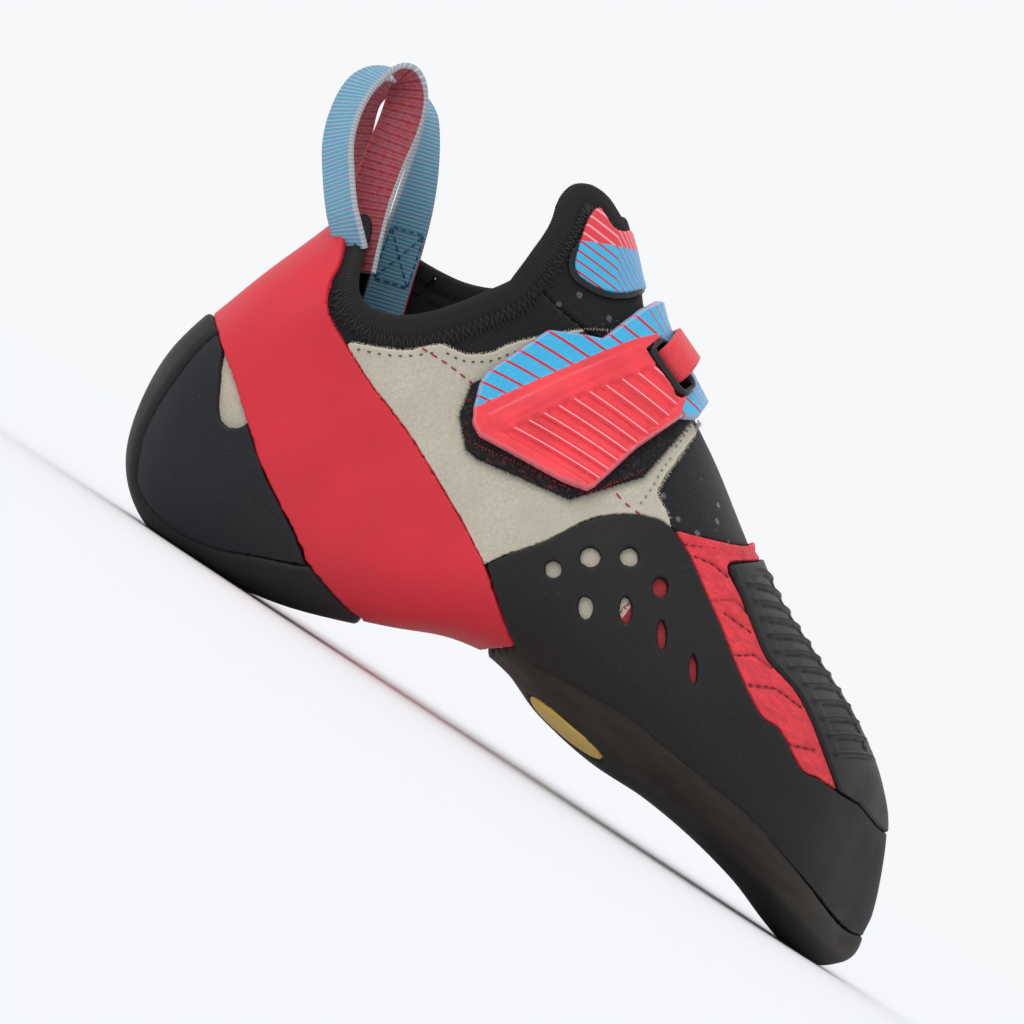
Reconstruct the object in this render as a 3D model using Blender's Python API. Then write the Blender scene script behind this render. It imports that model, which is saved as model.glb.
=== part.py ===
"""A downturned climbing shoe for the right foot, standing empty on its sole.

Every large piece is cut from one function, last_surface(), which lofts the foot's form through
a table of sections. Toe is +X, the lateral side is -Y and up is +Z. Lengths are metres.
"""

import math
from collections import namedtuple

import bmesh
import bpy
import numpy as np
from mathutils import Matrix, Vector

# Driving sizes
LENGTH = 0.230
HEIGHT = 0.1325
BALL_WIDTH = 0.084
WALL = 0.0020
GAP = 0.0003
SEAM = 0.0004
BAND_THICK = 0.0016
CUP_THICK = 0.0017
STRIP_THICK = 0.0027
RAND_THICK = 0.0016
SUEDE_THICK = 0.0011
PATCH_THICK = 0.0020
RIB_RAISE = 0.0010
SOLE_THICK = 0.0040
INSET_DEPTH = 0.0008
INSOLE_THICK = 0.0015
BINDING_WIDTH = 0.0070
BINDING_RAISE = 0.0009
PAD_THICK = 0.0012
STRAP_THICK = 0.0030
PRINT_THICK = 0.0008
WEBBING_WIDTH = 0.0115
WEBBING_THICK = 0.0013
KEEPER_WIDTH = 0.0095
KEEPER_THICK = 0.0016
SLOT_LENGTH = 0.0125
SLOT_HEIGHT = 0.0052
SLOT_RIM = 0.0012
HOLE_DIAMETER = 0.0046
RIB_PITCH = 0.0047
RIB_WIDTH = 0.0020
RIB_COUNT = 11

# Grid of the lofted forms
ROWS = 24
COLUMNS = 20
REACH = 0.080
TIP_SHARE = 0.994
DRAW_IN = 11.0
PRISM_STEPS = 5

Station = namedtuple(
    "Station",
    "foot_x foot_z strip sole top_x top_z lateral medial widest low high foot_y top_y cant",
)
# One row for each section of the last, from the mouth of the collar round the heel to the toe.
# foot and top are the ends of the section's middle line, in percent of LENGTH and HEIGHT.
# strip and sole tell how much of the rubber's thickness lies under the last there.
# lateral, medial, foot_y and top_y are percent of BALL_WIDTH. widest is the share of the
# section's height at which it is widest, low and high are the fullness below and above it,
# and cant is the slope of the underside, up towards the lateral side.
STATIONS = [
    Station(10.0, 81.5, 0.2, 0.0, 27.0, 107.2, 25, 25, 0.45, 2.1, 2.2, 0, 0, 0.00),
    Station(8.7, 74.7, 0.3, 0.0, 30.4, 103.0, 27, 27, 0.45, 2.1, 2.2, 0, 0, 0.00),
    Station(5.7, 60.4, 0.6, 0.0, 33.5, 98.9, 30, 30, 0.43, 2.1, 2.2, 0, 0, 0.00),
    Station(2.0, 43.0, 1.0, 0.0, 36.1, 95.1, 32, 32, 0.36, 2.2, 2.1, 0, 0, 0.00),
    Station(0.0, 26.4, 1.0, 0.0, 38.1, 91.7, 33, 33, 0.30, 2.3, 2.0, 0, 0, 0.00),
    Station(2.0, 9.4, 1.0, 0.0, 39.3, 89.8, 33, 33, 0.28, 2.4, 2.0, 0, 0, 0.00),
    Station(7.4, 0.6, 1.0, 0.0, 40.4, 87.6, 34, 33, 0.26, 2.6, 2.0, 0, 0, 0.00),
    Station(15.2, -0.6, 1.0, 0.0, 41.7, 85.4, 34, 34, 0.25, 2.7, 2.0, 0, 0, 0.00),
    Station(24.3, 1.6, 1.0, 0.0, 43.5, 83.0, 35, 33, 0.25, 2.7, 2.0, 0, 0, 0.00),
    Station(33.5, 7.0, 0.7, 0.0, 46.1, 80.4, 36, 33, 0.26, 2.6, 2.0, 0, 1, 0.03),
    Station(42.2, 12.2, 0.4, 0.3, 49.6, 77.0, 38, 34, 0.28, 2.6, 2.0, 0, 2, 0.08),
    Station(49.3, 11.9, 0.0, 1.0, 53.3, 73.4, 41, 36, 0.30, 2.7, 2.0, 0, 4, 0.14),
    Station(56.1, 8.3, 0.0, 1.0, 57.5, 69.0, 44, 39, 0.31, 2.8, 2.0, 0, 6, 0.20),
    Station(63.5, 6.3, 0.0, 1.0, 63.4, 61.9, 46, 42, 0.33, 2.9, 2.1, 0, 8, 0.22),
    Station(70.9, 6.2, 0.0, 1.0, 70.0, 54.1, 46, 44, 0.35, 2.9, 2.1, 1, 9, 0.20),
    Station(78.3, 5.0, 0.0, 1.0, 77.3, 48.4, 43, 42, 0.37, 2.8, 2.2, 4, 12, 0.17),
    Station(84.8, 2.9, 0.0, 1.0, 83.9, 43.4, 37.5, 38, 0.39, 2.8, 2.3, 9, 15, 0.14),
    Station(90.0, 0.2, 0.0, 1.0, 88.9, 38.3, 29.5, 32, 0.40, 2.7, 2.3, 14, 18, 0.09),
    Station(94.2, -1.3, 0.0, 1.0, 92.0, 33.9, 21, 24, 0.41, 2.6, 2.3, 18.5, 20, 0.05),
    Station(96.4, -0.6, 0.0, 1.0, 94.1, 29.9, 15, 17.5, 0.43, 2.5, 2.3, 21, 21.5, 0.02),
    Station(97.8, 2.4, 0.0, 0.7, 95.9, 24.3, 10, 12, 0.45, 2.4, 2.3, 22, 22, 0.00),
    Station(98.5, 5.2, 0.0, 0.4, 97.6, 17.6, 5.5, 6.5, 0.50, 2.2, 2.2, 22.5, 22.5, 0.00),
    Station(98.9, 10.2, 0.0, 0.0, 98.8, 11.4, 0.1, 0.1, 0.50, 2.0, 2.0, 22.5, 22.5, 0.00),
]

# Seams as seen from the side, in percent of LENGTH and HEIGHT, from the photograph.
Rim = namedtuple("Rim", "x lateral_z medial_z tape")
# Rim of the collar from the heel to the top of the tongue: its height on each side, and the
# share of BINDING_WIDTH that the tape has there.
RIM = [
    Rim(8.5, 74.3, 74.3, 0.7), Rim(10.0, 71.5, 73.6, 0.35), Rim(11.4, 65.8, 73.0, 0.25),
    Rim(13.4, 59.4, 72.4, 0.6), Rim(15.2, 57.4, 72.2, 0.9), Rim(17.5, 57.6, 72.2, 1.0),
    Rim(20.0, 59.8, 72.5, 1.0), Rim(22.1, 63.2, 73.0, 1.0), Rim(24.0, 67.2, 74.0, 1.0),
    Rim(25.8, 71.8, 75.5, 1.0), Rim(27.3, 75.9, 78.0, 1.0), Rim(28.4, 80.2, 81.0, 1.0),
    Rim(28.5, 84.4, 84.4, 0.9), Rim(27.9, 88.4, 88.4, 0.8), Rim(27.1, 92.2, 92.2, 0.7),
    Rim(26.8, 95.3, 95.3, 0.6), Rim(27.1, 98.0, 98.0, 0.5), Rim(28.0, 99.6, 99.6, 0.5),
    Rim(29.2, 100.4, 100.4, 0.5), Rim(31.0, 100.3, 100.3, 0.5), Rim(33.2, 98.8, 98.8, 0.5),
]
BAND_REAR = [
    (1.0, 41.5), (5.4, 35.5), (8.0, 32.2), (12.4, 25.9), (16.6, 20.4), (23.4, 13.6),
    (25.8, 10.9), (31.5, 8.2), (33.4, 8.0),
]
BAND_FRONT = [
    (6.7, 68.7), (9.3, 66.9), (10.6, 61.5), (10.9, 57.7), (11.7, 54.3), (13.0, 51.8),
    (15.9, 49.2), (20.4, 45.6), (26.8, 41.7), (33.9, 35.9), (37.8, 32.5), (41.6, 28.7),
    (43.8, 25.9), (46.8, 22.0), (49.1, 19.5),
]
CUP_GROOVE = [
    (3.8, 38.0), (3.0, 33.0), (2.7, 27.4), (2.6, 20.8), (2.9, 15.2), (3.5, 11.9),
    (5.3, 6.2), (8.5, 3.4), (12.2, 2.9), (16.2, 4.1), (20.2, 6.9), (24.4, 9.7),
]
CUP_WINDOW = [(11.8, 26.6), (10.7, 24.0), (9.3, 24.2), (8.3, 25.4), (7.1, 30.0), (6.1, 32.8)]
SOLE_TOP_LATERAL = [
    (46.5, 15.8), (49.1, 19.3), (52.2, 19.0), (57.7, 19.3), (63.3, 19.8), (70.4, 18.5),
    (79.1, 17.1), (86.5, 14.3), (91.5, 12.1), (97.0, 8.8), (99.4, 9.3),
]
SOLE_TOP_MEDIAL = [
    (46.5, 14.5), (49.1, 15.5), (52.2, 15.5), (57.7, 14.5), (63.3, 13.8), (70.4, 13.0),
    (79.1, 12.2), (86.5, 10.8), (91.5, 9.8), (97.0, 8.8), (99.4, 9.3),
]
RAND_TOP = [
    (41.6, 29.1), (42.8, 32.5), (45.6, 38.8), (48.3, 46.8), (51.5, 51.5), (54.2, 53.6),
    (56.3, 53.6), (59.0, 51.6), (62.6, 47.5), (66.5, 43.0), (71.1, 37.4), (75.1, 33.5),
    (77.7, 33.2), (82.0, 29.4), (84.1, 29.7), (87.0, 29.7),
]
PATCH_EDGE = [
    (66.5, 58.5), (63.5, 53.9), (67.0, 49.6), (71.7, 43.8), (73.5, 42.6), (77.0, 41.1),
    (80.2, 38.1), (83.3, 34.3), (87.0, 29.8), (89.9, 30.0), (93.5, 28.5), (96.0, 28.5),
]
VAMP_TOP = [(56.4, 53.6), (60.3, 56.0), (64.0, 58.9), (65.0, 62.0), (66.0, 67.0)]
THROAT = [
    (28.5, 84.5), (29.3, 79.0), (33.5, 77.0), (38.5, 76.0), (44.5, 73.5), (49.0, 68.5),
    (51.5, 61.0), (53.3, 55.5), (56.4, 53.2), (60.3, 55.6), (63.8, 58.4), (65.2, 62.0),
    (66.0, 75.0), (56.0, 90.0), (42.0, 105.0), (30.0, 115.0), (22.0, 112.0), (24.0, 95.0),
]
QUARTER_TOP = [
    (16.5, 50.2), (19.1, 52.1), (21.9, 54.7), (24.5, 59.0), (27.2, 60.0), (29.5, 63.0),
    (30.8, 66.6), (33.7, 72.0), (36.5, 76.5), (39.5, 79.5), (43.0, 81.0), (47.5, 80.5),
    (52.7, 74.7), (52.8, 69.1), (52.6, 60.6), (53.0, 57.7), (55.2, 55.3), (56.3, 53.9),
]
PAD_OUTLINE = [
    (30.5, 49.7), (33.1, 45.1), (34.5, 44.8), (45.2, 47.8), (50.5, 59.0), (51.5, 70.5),
    (51.6, 74.2), (45.0, 83.0), (35.0, 73.0), (30.1, 57.5), (29.7, 55.8),
]
STRAP_OUTLINE = [
    (31.1, 52.7), (30.3, 57.1), (30.3, 59.5), (33.3, 72.6), (36.5, 75.5), (38.7, 77.1),
    (40.6, 86.3), (41.9, 90.5), (47.0, 92.5), (53.0, 88.0), (52.6, 81.1), (52.3, 74.6),
    (50.7, 72.8), (48.7, 62.9), (47.5, 52.6), (47.1, 51.2), (44.3, 50.2), (33.3, 48.2),
    (32.0, 49.8),
]
PRINT_OUTLINE = [
    (31.2, 92.0), (33.5, 94.0), (37.5, 98.0), (45.0, 91.0), (42.0, 84.5), (38.5, 82.6),
    (34.5, 82.6), (32.6, 85.0), (31.7, 88.5),
]
# Holes of the rand: place, width and height in percent of HOLE_DIAMETER. The longer ones lean
# forward by HOLE_TILT as they run down.
Hole = namedtuple("Hole", "x z wide high")
RAND_HOLES = [
    Hole(47.9, 35.1, 89, 89), Hole(50.5, 40.8, 105, 105), Hole(54.0, 44.8, 100, 100),
    Hole(58.5, 43.2, 83, 105), Hole(53.0, 32.4, 78, 122), Hole(56.7, 36.1, 61, 144),
    Hole(61.4, 35.9, 46, 155), Hole(66.2, 33.8, 42, 155),
]
HOLE_TILT = 33
INSET_CENTRE = (58.9, 2.0, 10.0)
INSET_RADII = (5.1, 9.5)
# The line from the first rib to the toe, then the ribs' ends as shares of BALL_WIDTH and how far
# above and below the line their cutters reach, as a share of HEIGHT.
RIB_LINE = [(69.5, 58.0), (94.0, 33.0)]
RIB_SPAN = (-0.096, 0.332)
RIB_REACH = 0.14

# Places on the last: share of the way from collar to toe, and angle round it from the underside.
INSOLE_SPAN = (0.22, 0.90)
INSOLE_HALF_ANGLE = 50
WINDOW_SPAN = (0.52, 0.88)
WINDOW_HALF_ANGLE = 34
SLOT_PLACE = (0.415, -160.0)
KEEPER_SPAN = 0.415
# The keeper's way from the slot over the strap's edge: angle round the last, and its height
# as a share of its height over the strap.
KEEPER_BENDS = [
    (-159.6, 0.45), (-160.3, 0.80), (-163.0, 1.12), (-168.0, 1.16), (-174.0, 1.12),
    (-180.0, 1.12), (-187.0, 0.90), (-196.0, 0.45),
]
THROAT_EDGE_LATERAL = -0.10
THROAT_EDGE_MEDIAL = 0.22
STRAP_EDGE = 0.05

PARTS = "climbing_shoe"
HELPERS = "helpers"


def station_columns(u):
    """Every column of STATIONS at the shares u, along a smooth curve through the rows."""
    table = np.array(STATIONS)
    last_row = len(table) - 1
    place = np.clip(np.asarray(u, float), 0, 1) * last_row
    first = np.clip(np.floor(place).astype(int), 0, last_row - 1)
    t = (place - first)[..., None]
    before, start = table[np.maximum(first - 1, 0)], table[first]
    end, after = table[first + 1], table[np.minimum(first + 2, last_row)]
    leave, arrive = (end - before) / 2, (after - start) / 2
    curve = (
        (2 * t**3 - 3 * t**2 + 1) * start
        + (t**3 - 2 * t**2 + t) * leave
        + (3 * t**2 - 2 * t**3) * end
        + (t**3 - t**2) * arrive
    )
    return Station(*np.moveaxis(curve, -1, 0))


def section_points(u, angle):
    """Points of the last's outer skin. angle is in degrees: 0 underneath, +90 medial."""
    at = station_columns(u)
    turn = np.radians(angle)
    across, down = np.sin(turn), np.cos(turn)
    full = np.where(down > 0, at.low, at.high)
    radius = (np.abs(across) ** full + np.abs(down) ** full) ** (-1 / full)
    half = np.where(across < 0, at.lateral, at.medial) * BALL_WIDTH / 100
    above = np.where(down > 0, at.widest, 1 - at.widest)
    rise = at.widest - above * radius * down
    foot = np.stack([at.foot_x * LENGTH, at.foot_y * BALL_WIDTH, at.foot_z * HEIGHT], -1) / 100
    top = np.stack([at.top_x * LENGTH, at.top_y * BALL_WIDTH, at.top_z * HEIGHT], -1) / 100
    under = at.strip * STRIP_THICK + at.sole * SOLE_THICK + GAP
    way = (top - foot) * [1, 0, 1]
    foot = foot + way / np.linalg.norm(way, axis=-1, keepdims=True) * under[..., None]
    point = foot + (top - foot) * rise[..., None]
    point[..., 1] += half * radius * across
    inner_edge = 0.75 * at.medial * BALL_WIDTH / 100
    point[..., 2] += at.cant * (inner_edge - half * radius * across) * (1 - rise) ** 2
    return point


def last_surface(u, angle, offset=0.0):
    """Points at this distance outside the last's skin, along its normals."""
    u, angle, offset = np.broadcast_arrays(np.asarray(u, float), angle, offset)
    step_u, step_angle = 0.002, 1.0
    inside = np.clip(u, step_u, 1 - 2 * step_u)
    along = section_points(inside + step_u, angle) - section_points(inside - step_u, angle)
    around = section_points(inside, angle + step_angle) - section_points(inside, angle - step_angle)
    normal = np.cross(around, along)
    normal /= np.linalg.norm(normal, axis=-1, keepdims=True)
    return section_points(u, angle) + normal * offset[..., None]


def add_object(name, mesh, collection):
    made = bpy.data.objects.new(name, mesh)
    bpy.data.collections[collection].objects.link(made)
    if collection == HELPERS:
        made.hide_render = True
        made.display_type = "WIRE"
    return made


def mesh_from(name, build):
    """A mesh whose faces the function build adds to an empty bmesh."""
    shape = bmesh.new()
    build(shape)
    bmesh.ops.recalc_face_normals(shape, faces=shape.faces)
    mesh = bpy.data.meshes.new(name)
    shape.to_mesh(mesh)
    shape.free()
    return mesh


def skin_rings(shape, rings):
    """Joins rings of points, each with as many points, by triangles and closes both ends."""
    loops = [[shape.verts.new(p) for p in ring] for ring in rings]
    count = len(loops[0])
    for one, two in zip(loops, loops[1:]):
        for i in range(count):
            j = (i + 1) % count
            shape.faces.new((one[i], one[j], two[j]))
            shape.faces.new((one[i], two[j], two[i]))
    shape.faces.new(loops[0][::-1])
    shape.faces.new(loops[-1])


def form(offset):
    """A closed solid of the last's form, this far outside its skin. Each offset is made once."""
    name = f"form_{offset * 1000:.2f}"
    if name in bpy.data.objects:
        return bpy.data.objects[name]
    angles = np.linspace(-180, 180, COLUMNS, endpoint=False)
    draw_in = -min(offset, 0) * DRAW_IN
    shares = np.linspace(draw_in / 4, TIP_SHARE - draw_in, ROWS)
    rings = [last_surface(np.full(COLUMNS, u), angles, offset) for u in shares]
    return add_object(name, mesh_from(name, lambda s: skin_rings(s, rings)), HELPERS)


def side_points(outline):
    return [(x * LENGTH / 100, z * HEIGHT / 100) for x, z in outline]


def grown(points, distance):
    """The closed outline moved outwards by a distance."""
    p = np.array(points, float)
    area = np.sum(p[:, 0] * np.roll(p[:, 1], -1) - p[:, 1] * np.roll(p[:, 0], -1))
    ahead = np.roll(p, -1, axis=0) - p
    ahead /= np.linalg.norm(ahead, axis=1, keepdims=True)
    out = np.stack([ahead[:, 1], -ahead[:, 0]], 1) * np.sign(area)
    both = out + np.roll(out, 1, axis=0)
    share = np.maximum((both**2).sum(1, keepdims=True) / 2, 0.6)
    return p + both / share * np.reshape(distance, (-1, 1))


def prism(name, lateral, medial=None, near=-REACH, far=REACH, grow=0.0):
    """A helper solid across the shoe whose side outline goes from lateral to medial."""
    blend_y = 0.30 * BALL_WIDTH
    between = np.linspace(-blend_y, blend_y, PRISM_STEPS) if medial else []
    medial = medial or lateral
    sides = grown(side_points(lateral), grow), grown(side_points(medial), grow)
    stops = sorted({near, far} | {y for y in between if near < y < far})
    rings = []
    for y in stops:
        share = np.clip((y + blend_y) / (2 * blend_y), 0, 1)
        outline = sides[0] * (1 - share) + sides[1] * share
        rings.append([(x, y, z) for x, z in outline])
    return add_object(name, mesh_from(name, lambda s: skin_rings(s, rings)), HELPERS)


def patch_solid(name, span, half_angle, inner, outer, rows, columns):
    """A helper sheet along the underside of the last, between two distances from its skin."""
    u, angle = np.meshgrid(
        np.linspace(*span, rows), np.linspace(-half_angle, half_angle, columns), indexing="ij"
    )
    low, high = last_surface(u, angle, inner), last_surface(u, angle, outer)

    def build(shape):
        layers = [[[shape.verts.new(p) for p in row] for row in grid] for grid in (low, high)]
        for grid in layers:
            for a, b in zip(grid, grid[1:]):
                for i in range(columns - 1):
                    shape.faces.new((a[i], a[i + 1], b[i + 1], b[i]))
        edge = [(i, 0) for i in range(rows)]
        edge += [(rows - 1, j) for j in range(1, columns)]
        edge += [(i, columns - 1) for i in range(rows - 2, -1, -1)]
        edge += [(0, j) for j in range(columns - 2, 0, -1)]
        for (i, j), (k, m) in zip(edge, edge[1:] + edge[:1]):
            shape.faces.new((layers[0][i][j], layers[0][k][m], layers[1][k][m], layers[1][i][j]))

    return add_object(name, mesh_from(name, build), HELPERS)


def boolean(target, operation, other):
    change = target.modifiers.new(f"{operation.lower()} {other.name}", "BOOLEAN")
    change.operation = operation
    change.object = other
    return target


def shell_piece(name, outer, inner):
    """A new piece between two forms of the last."""
    body = bpy.data.objects.new(name, form(outer).data.copy())
    bpy.data.collections[PARTS].objects.link(body)
    return boolean(body, "DIFFERENCE", form(inner))


def overlay(name, outline, thick, medial=None, near=-REACH, far=REACH, base=GAP):
    """A piece of this thickness on the last, with the outline seen from the side."""
    flat = prism(f"{name}_outline", outline, medial, near, far, -SEAM / 2)
    piece = bpy.data.objects.new(name, flat.data.copy())
    bpy.data.collections[PARTS].objects.link(piece)
    boolean(piece, "INTERSECT", form(base + thick))
    return boolean(piece, "DIFFERENCE", form(base))


def floor_block():
    if "floor_block" in bpy.data.objects:
        return bpy.data.objects["floor_block"]
    bpy.ops.mesh.primitive_cube_add(size=1, location=(LENGTH / 2, 0, -REACH / 2))
    block = bpy.context.object
    block.name = "floor_block"
    block.scale = (2 * LENGTH, 4 * REACH, REACH)
    move_to(block, HELPERS)
    block.hide_render = True
    block.display_type = "WIRE"
    return block


def move_to(item, collection):
    for other in list(item.users_collection):
        other.objects.unlink(item)
    bpy.data.collections[collection].objects.link(item)


def cylinder_helper(name, place, radii, depth, sides, lying=None):
    """An elliptical cutter: upright, or lying across the shoe with its height leaning forward."""
    bpy.ops.mesh.primitive_cylinder_add(vertices=sides, radius=1, depth=1)
    made = bpy.context.object
    made.name = name
    made.data.transform(Matrix.LocRotScale(None, None, Vector((*radii, depth))))
    if lying is not None:
        made.data.transform(Matrix.Rotation(math.pi / 2, 4, "X"))
        made.data.transform(Matrix.Rotation(math.radians(-lying), 4, "Y"))
    made.data.transform(Matrix.Translation(Vector(place)))
    move_to(made, HELPERS)
    made.hide_render = True
    made.display_type = "WIRE"
    return made


def rim_cutter(name, drop):
    """What lies above the rim of the collar, lowered by a distance."""
    above = [(37.0, 110.0), (37.0, 135.0), (-8.0, 135.0), (-8.0, 76.5)]
    lateral = [(rim.x, rim.lateral_z) for rim in RIM]
    medial = [(rim.x, rim.medial_z) for rim in RIM]
    lower = [rim.tape * drop for rim in RIM] + [0.0] * len(above)
    return prism(name, lateral + above, medial + above, grow=lower)


def make_upper():
    """The hollow body: open at the collar, at the throat and under the forefoot."""
    body = shell_piece("upper", 0.0, -WALL)
    boolean(body, "DIFFERENCE", rim_cutter("rim_over_upper", BINDING_WIDTH + GAP))
    boolean(body, "DIFFERENCE", prism("throat_opening", THROAT, grow=GAP / 2))
    window = patch_solid("window", WINDOW_SPAN, WINDOW_HALF_ANGLE, -3 * WALL, 3 * WALL, 9, 5)
    boolean(body, "DIFFERENCE", window)


def make_tongue():
    body = shell_piece("tongue", 0.0, -WALL)
    boolean(body, "INTERSECT", prism("throat_filling", THROAT, grow=-GAP / 2))
    boolean(body, "DIFFERENCE", bpy.data.objects["rim_over_upper"])
    overlay("tongue_patch", PRINT_OUTLINE, PRINT_THICK)


def make_binding():
    """The tape folded over the rim, thicker than the wall on both sides."""
    ring = shell_piece("collar_binding", BINDING_RAISE, -WALL - BINDING_RAISE)
    boolean(ring, "INTERSECT", rim_cutter("rim_over_binding", BINDING_WIDTH))
    boolean(ring, "DIFFERENCE", rim_cutter("rim_top", 0.0))


def make_insole():
    """The board inside, along the whole foot."""
    upper_side = -WALL - GAP
    board = shell_piece("insole", upper_side, upper_side - INSOLE_THICK)
    room = patch_solid("insole_edge", INSOLE_SPAN, INSOLE_HALF_ANGLE, -4 * WALL, 0.0, 9, 3)
    boolean(board, "INTERSECT", room)


def band_outline():
    below = [(33.4, -6.0), (46.5, -6.0), (46.5, 15.8)]
    return BAND_REAR + below + BAND_FRONT[::-1] + [(-3.0, 68.7), (-3.0, 41.5)]


def make_panels():
    """Suede sides, the panel over the toes, the rubber band and the heel cup."""
    quarter = QUARTER_TOP + RAND_TOP[5::-1] + BAND_FRONT[-4:5:-1]
    lateral_end, medial_end = THROAT_EDGE_LATERAL * BALL_WIDTH, THROAT_EDGE_MEDIAL * BALL_WIDTH
    overlay("quarter_lateral", quarter, SUEDE_THICK, far=lateral_end)
    overlay("quarter_medial", quarter, SUEDE_THICK, near=medial_end)
    vamp = VAMP_TOP + [(67.3, 67.0)] + PATCH_EDGE[:9] + RAND_TOP[-2:6:-1]
    overlay("vamp", vamp, SUEDE_THICK)
    overlay("tension_band", band_outline(), BAND_THICK)
    cup = CUP_GROOVE + BAND_REAR[5:3:-1] + CUP_WINDOW + BAND_REAR[1:2]
    overlay("heel_cup_lateral", cup, CUP_THICK, far=0.0)
    overlay("heel_cup_medial", cup, CUP_THICK, near=0.0)


def make_soles():
    """The thick heel rubber, the toe rubber and the outsole, trimmed flat where they stand."""
    around = [(33.4, -6.0), (-4.0, -6.0), (-4.0, 41.5)]
    strip = BAND_REAR[:1] + CUP_GROOVE + BAND_REAR[6:] + around
    boolean(overlay("heel_strip", strip, STRIP_THICK), "DIFFERENCE", floor_block())
    front = [(104.0, 9.3), (104.0, 28.5)]
    lateral = RAND_TOP + PATCH_EDGE[9:] + front[::-1] + SOLE_TOP_LATERAL[:1:-1] + BAND_FRONT[:-4:-1]
    medial = RAND_TOP + PATCH_EDGE[9:] + front[::-1] + SOLE_TOP_MEDIAL[:1:-1] + BAND_FRONT[:-4:-1]
    rand = overlay("toe_rand", lateral, RAND_THICK, medial)
    for number, hole in enumerate(RAND_HOLES):
        radii = HOLE_DIAMETER * hole.wide / 200, HOLE_DIAMETER * hole.high / 200
        place = (hole.x * LENGTH / 100, -BALL_WIDTH / 2, hole.z * HEIGHT / 100)
        boolean(
            rand, "DIFFERENCE",
            cylinder_helper(f"hole_{number + 1}", place, radii, BALL_WIDTH / 2, 8, HOLE_TILT),
        )
    below = [(104.0, 9.3), (104.0, -6.0), (46.5, -6.0)]
    sole = overlay("outsole", SOLE_TOP_LATERAL + below, SOLE_THICK, SOLE_TOP_MEDIAL + below)
    boolean(sole, "DIFFERENCE", floor_block())
    make_inset(sole)


def make_inset(sole):
    """An oval let into the underside of the sole."""
    depth = 2 * INSET_CENTRE[2] * HEIGHT / 100
    place = np.array(INSET_CENTRE) * [LENGTH, BALL_WIDTH, HEIGHT] / 100
    radii = [INSET_RADII[0] * LENGTH / 100, INSET_RADII[1] * BALL_WIDTH / 100]
    face = SOLE_THICK + GAP
    pocket = cylinder_helper("inset_pocket", place, [r + GAP for r in radii], depth, 16)
    boolean(pocket, "DIFFERENCE", form(face - INSET_DEPTH - GAP))
    boolean(sole, "DIFFERENCE", pocket)
    oval = cylinder_helper("inset_outline", place, radii, depth, 16)
    inset = bpy.data.objects.new("sole_inset", oval.data.copy())
    bpy.data.collections[PARTS].objects.link(inset)
    boolean(inset, "INTERSECT", form(face))
    boolean(inset, "DIFFERENCE", form(face - INSET_DEPTH))


def make_toe_patch():
    """The rubber over the toes with its raised ribs."""
    outline = PATCH_EDGE + [(104.0, 28.5), (104.0, 70.0), (67.8, 70.0)]
    patch = overlay("toe_patch", outline, PATCH_THICK)
    start, end = np.array(side_points(RIB_LINE))
    way = (end - start) / np.linalg.norm(end - start)
    up = np.array([-way[1], way[0]])
    near, far = (share * BALL_WIDTH for share in RIB_SPAN)
    for number in range(RIB_COUNT):
        middle = start + way * RIB_PITCH * number
        corners = [
            middle + way * side * RIB_WIDTH / 2 + up * height * HEIGHT
            for side, height in ((-1, -RIB_REACH), (1, -RIB_REACH), (1, RIB_REACH), (-1, RIB_REACH))
        ]
        rib_outline = [(x / LENGTH * 100, z / HEIGHT * 100) for x, z in corners]
        rib = prism(f"rib_{number + 1}", rib_outline, near=near, far=far)
        boolean(rib, "INTERSECT", form(GAP + PATCH_THICK + RIB_RAISE))
        boolean(rib, "DIFFERENCE", form(GAP + PATCH_THICK / 2))
        boolean(rib, "INTERSECT", prism(f"rib_{number + 1}_edge", outline, grow=-3 * GAP))
        boolean(patch, "UNION", rib)


def make_closure():
    """The pad, the moulded strap over it, the lined slot and the loop through the slot."""
    edge = STRAP_EDGE * BALL_WIDTH
    pad_base = SUEDE_THICK + 2 * GAP
    overlay("hook_pad", PAD_OUTLINE, PAD_THICK, far=THROAT_EDGE_LATERAL * BALL_WIDTH, base=pad_base)
    strap_base = pad_base + PAD_THICK + GAP
    strap = overlay("strap", STRAP_OUTLINE, STRAP_THICK, far=edge, base=strap_base)
    centre = last_surface(*SLOT_PLACE, strap_base)
    ahead = last_surface(SLOT_PLACE[0] + 0.01, SLOT_PLACE[1], strap_base) - centre
    side = last_surface(SLOT_PLACE[0], SLOT_PLACE[1] + 2, strap_base) - centre
    ahead /= np.linalg.norm(ahead)
    normal = np.cross(side, ahead)
    normal /= np.linalg.norm(normal)
    side = np.cross(ahead, normal)
    if side[2] < 0:
        side = -side
    half = SLOT_LENGTH / 2, SLOT_HEIGHT / 2

    def frame_ring(grow, low, high, name, collection):
        corners = [(-1, -1), (1, -1), (1, 1), (-1, 1)]
        rings = [
            [
                centre + ahead * a * (half[0] + grow) + side * b * (half[1] + grow) + normal * lift
                for a, b in corners
            ]
            for lift in (low, high)
        ]
        return add_object(name, mesh_from(name, lambda s: skin_rings(s, rings)), collection)

    room = STRAP_THICK + 2 * GAP
    boolean(strap, "DIFFERENCE", frame_ring(SLOT_RIM + GAP, -room, 3 * room, "slot_room", HELPERS))
    liner = frame_ring(SLOT_RIM, 0.0, STRAP_THICK + 2 * GAP, "slot_rim", PARTS)
    boolean(liner, "DIFFERENCE", frame_ring(0.0, -room, 3 * room, "slot_hole", HELPERS))
    over = strap_base + STRAP_THICK + KEEPER_THICK / 2 + 2 * GAP
    path = [
        last_surface(KEEPER_SPAN, angle, over * share)
        for angle, share in KEEPER_BENDS
    ]
    ribbon("keeper_loop", path, [ahead] * len(path), KEEPER_WIDTH, KEEPER_THICK, 18)


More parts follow.
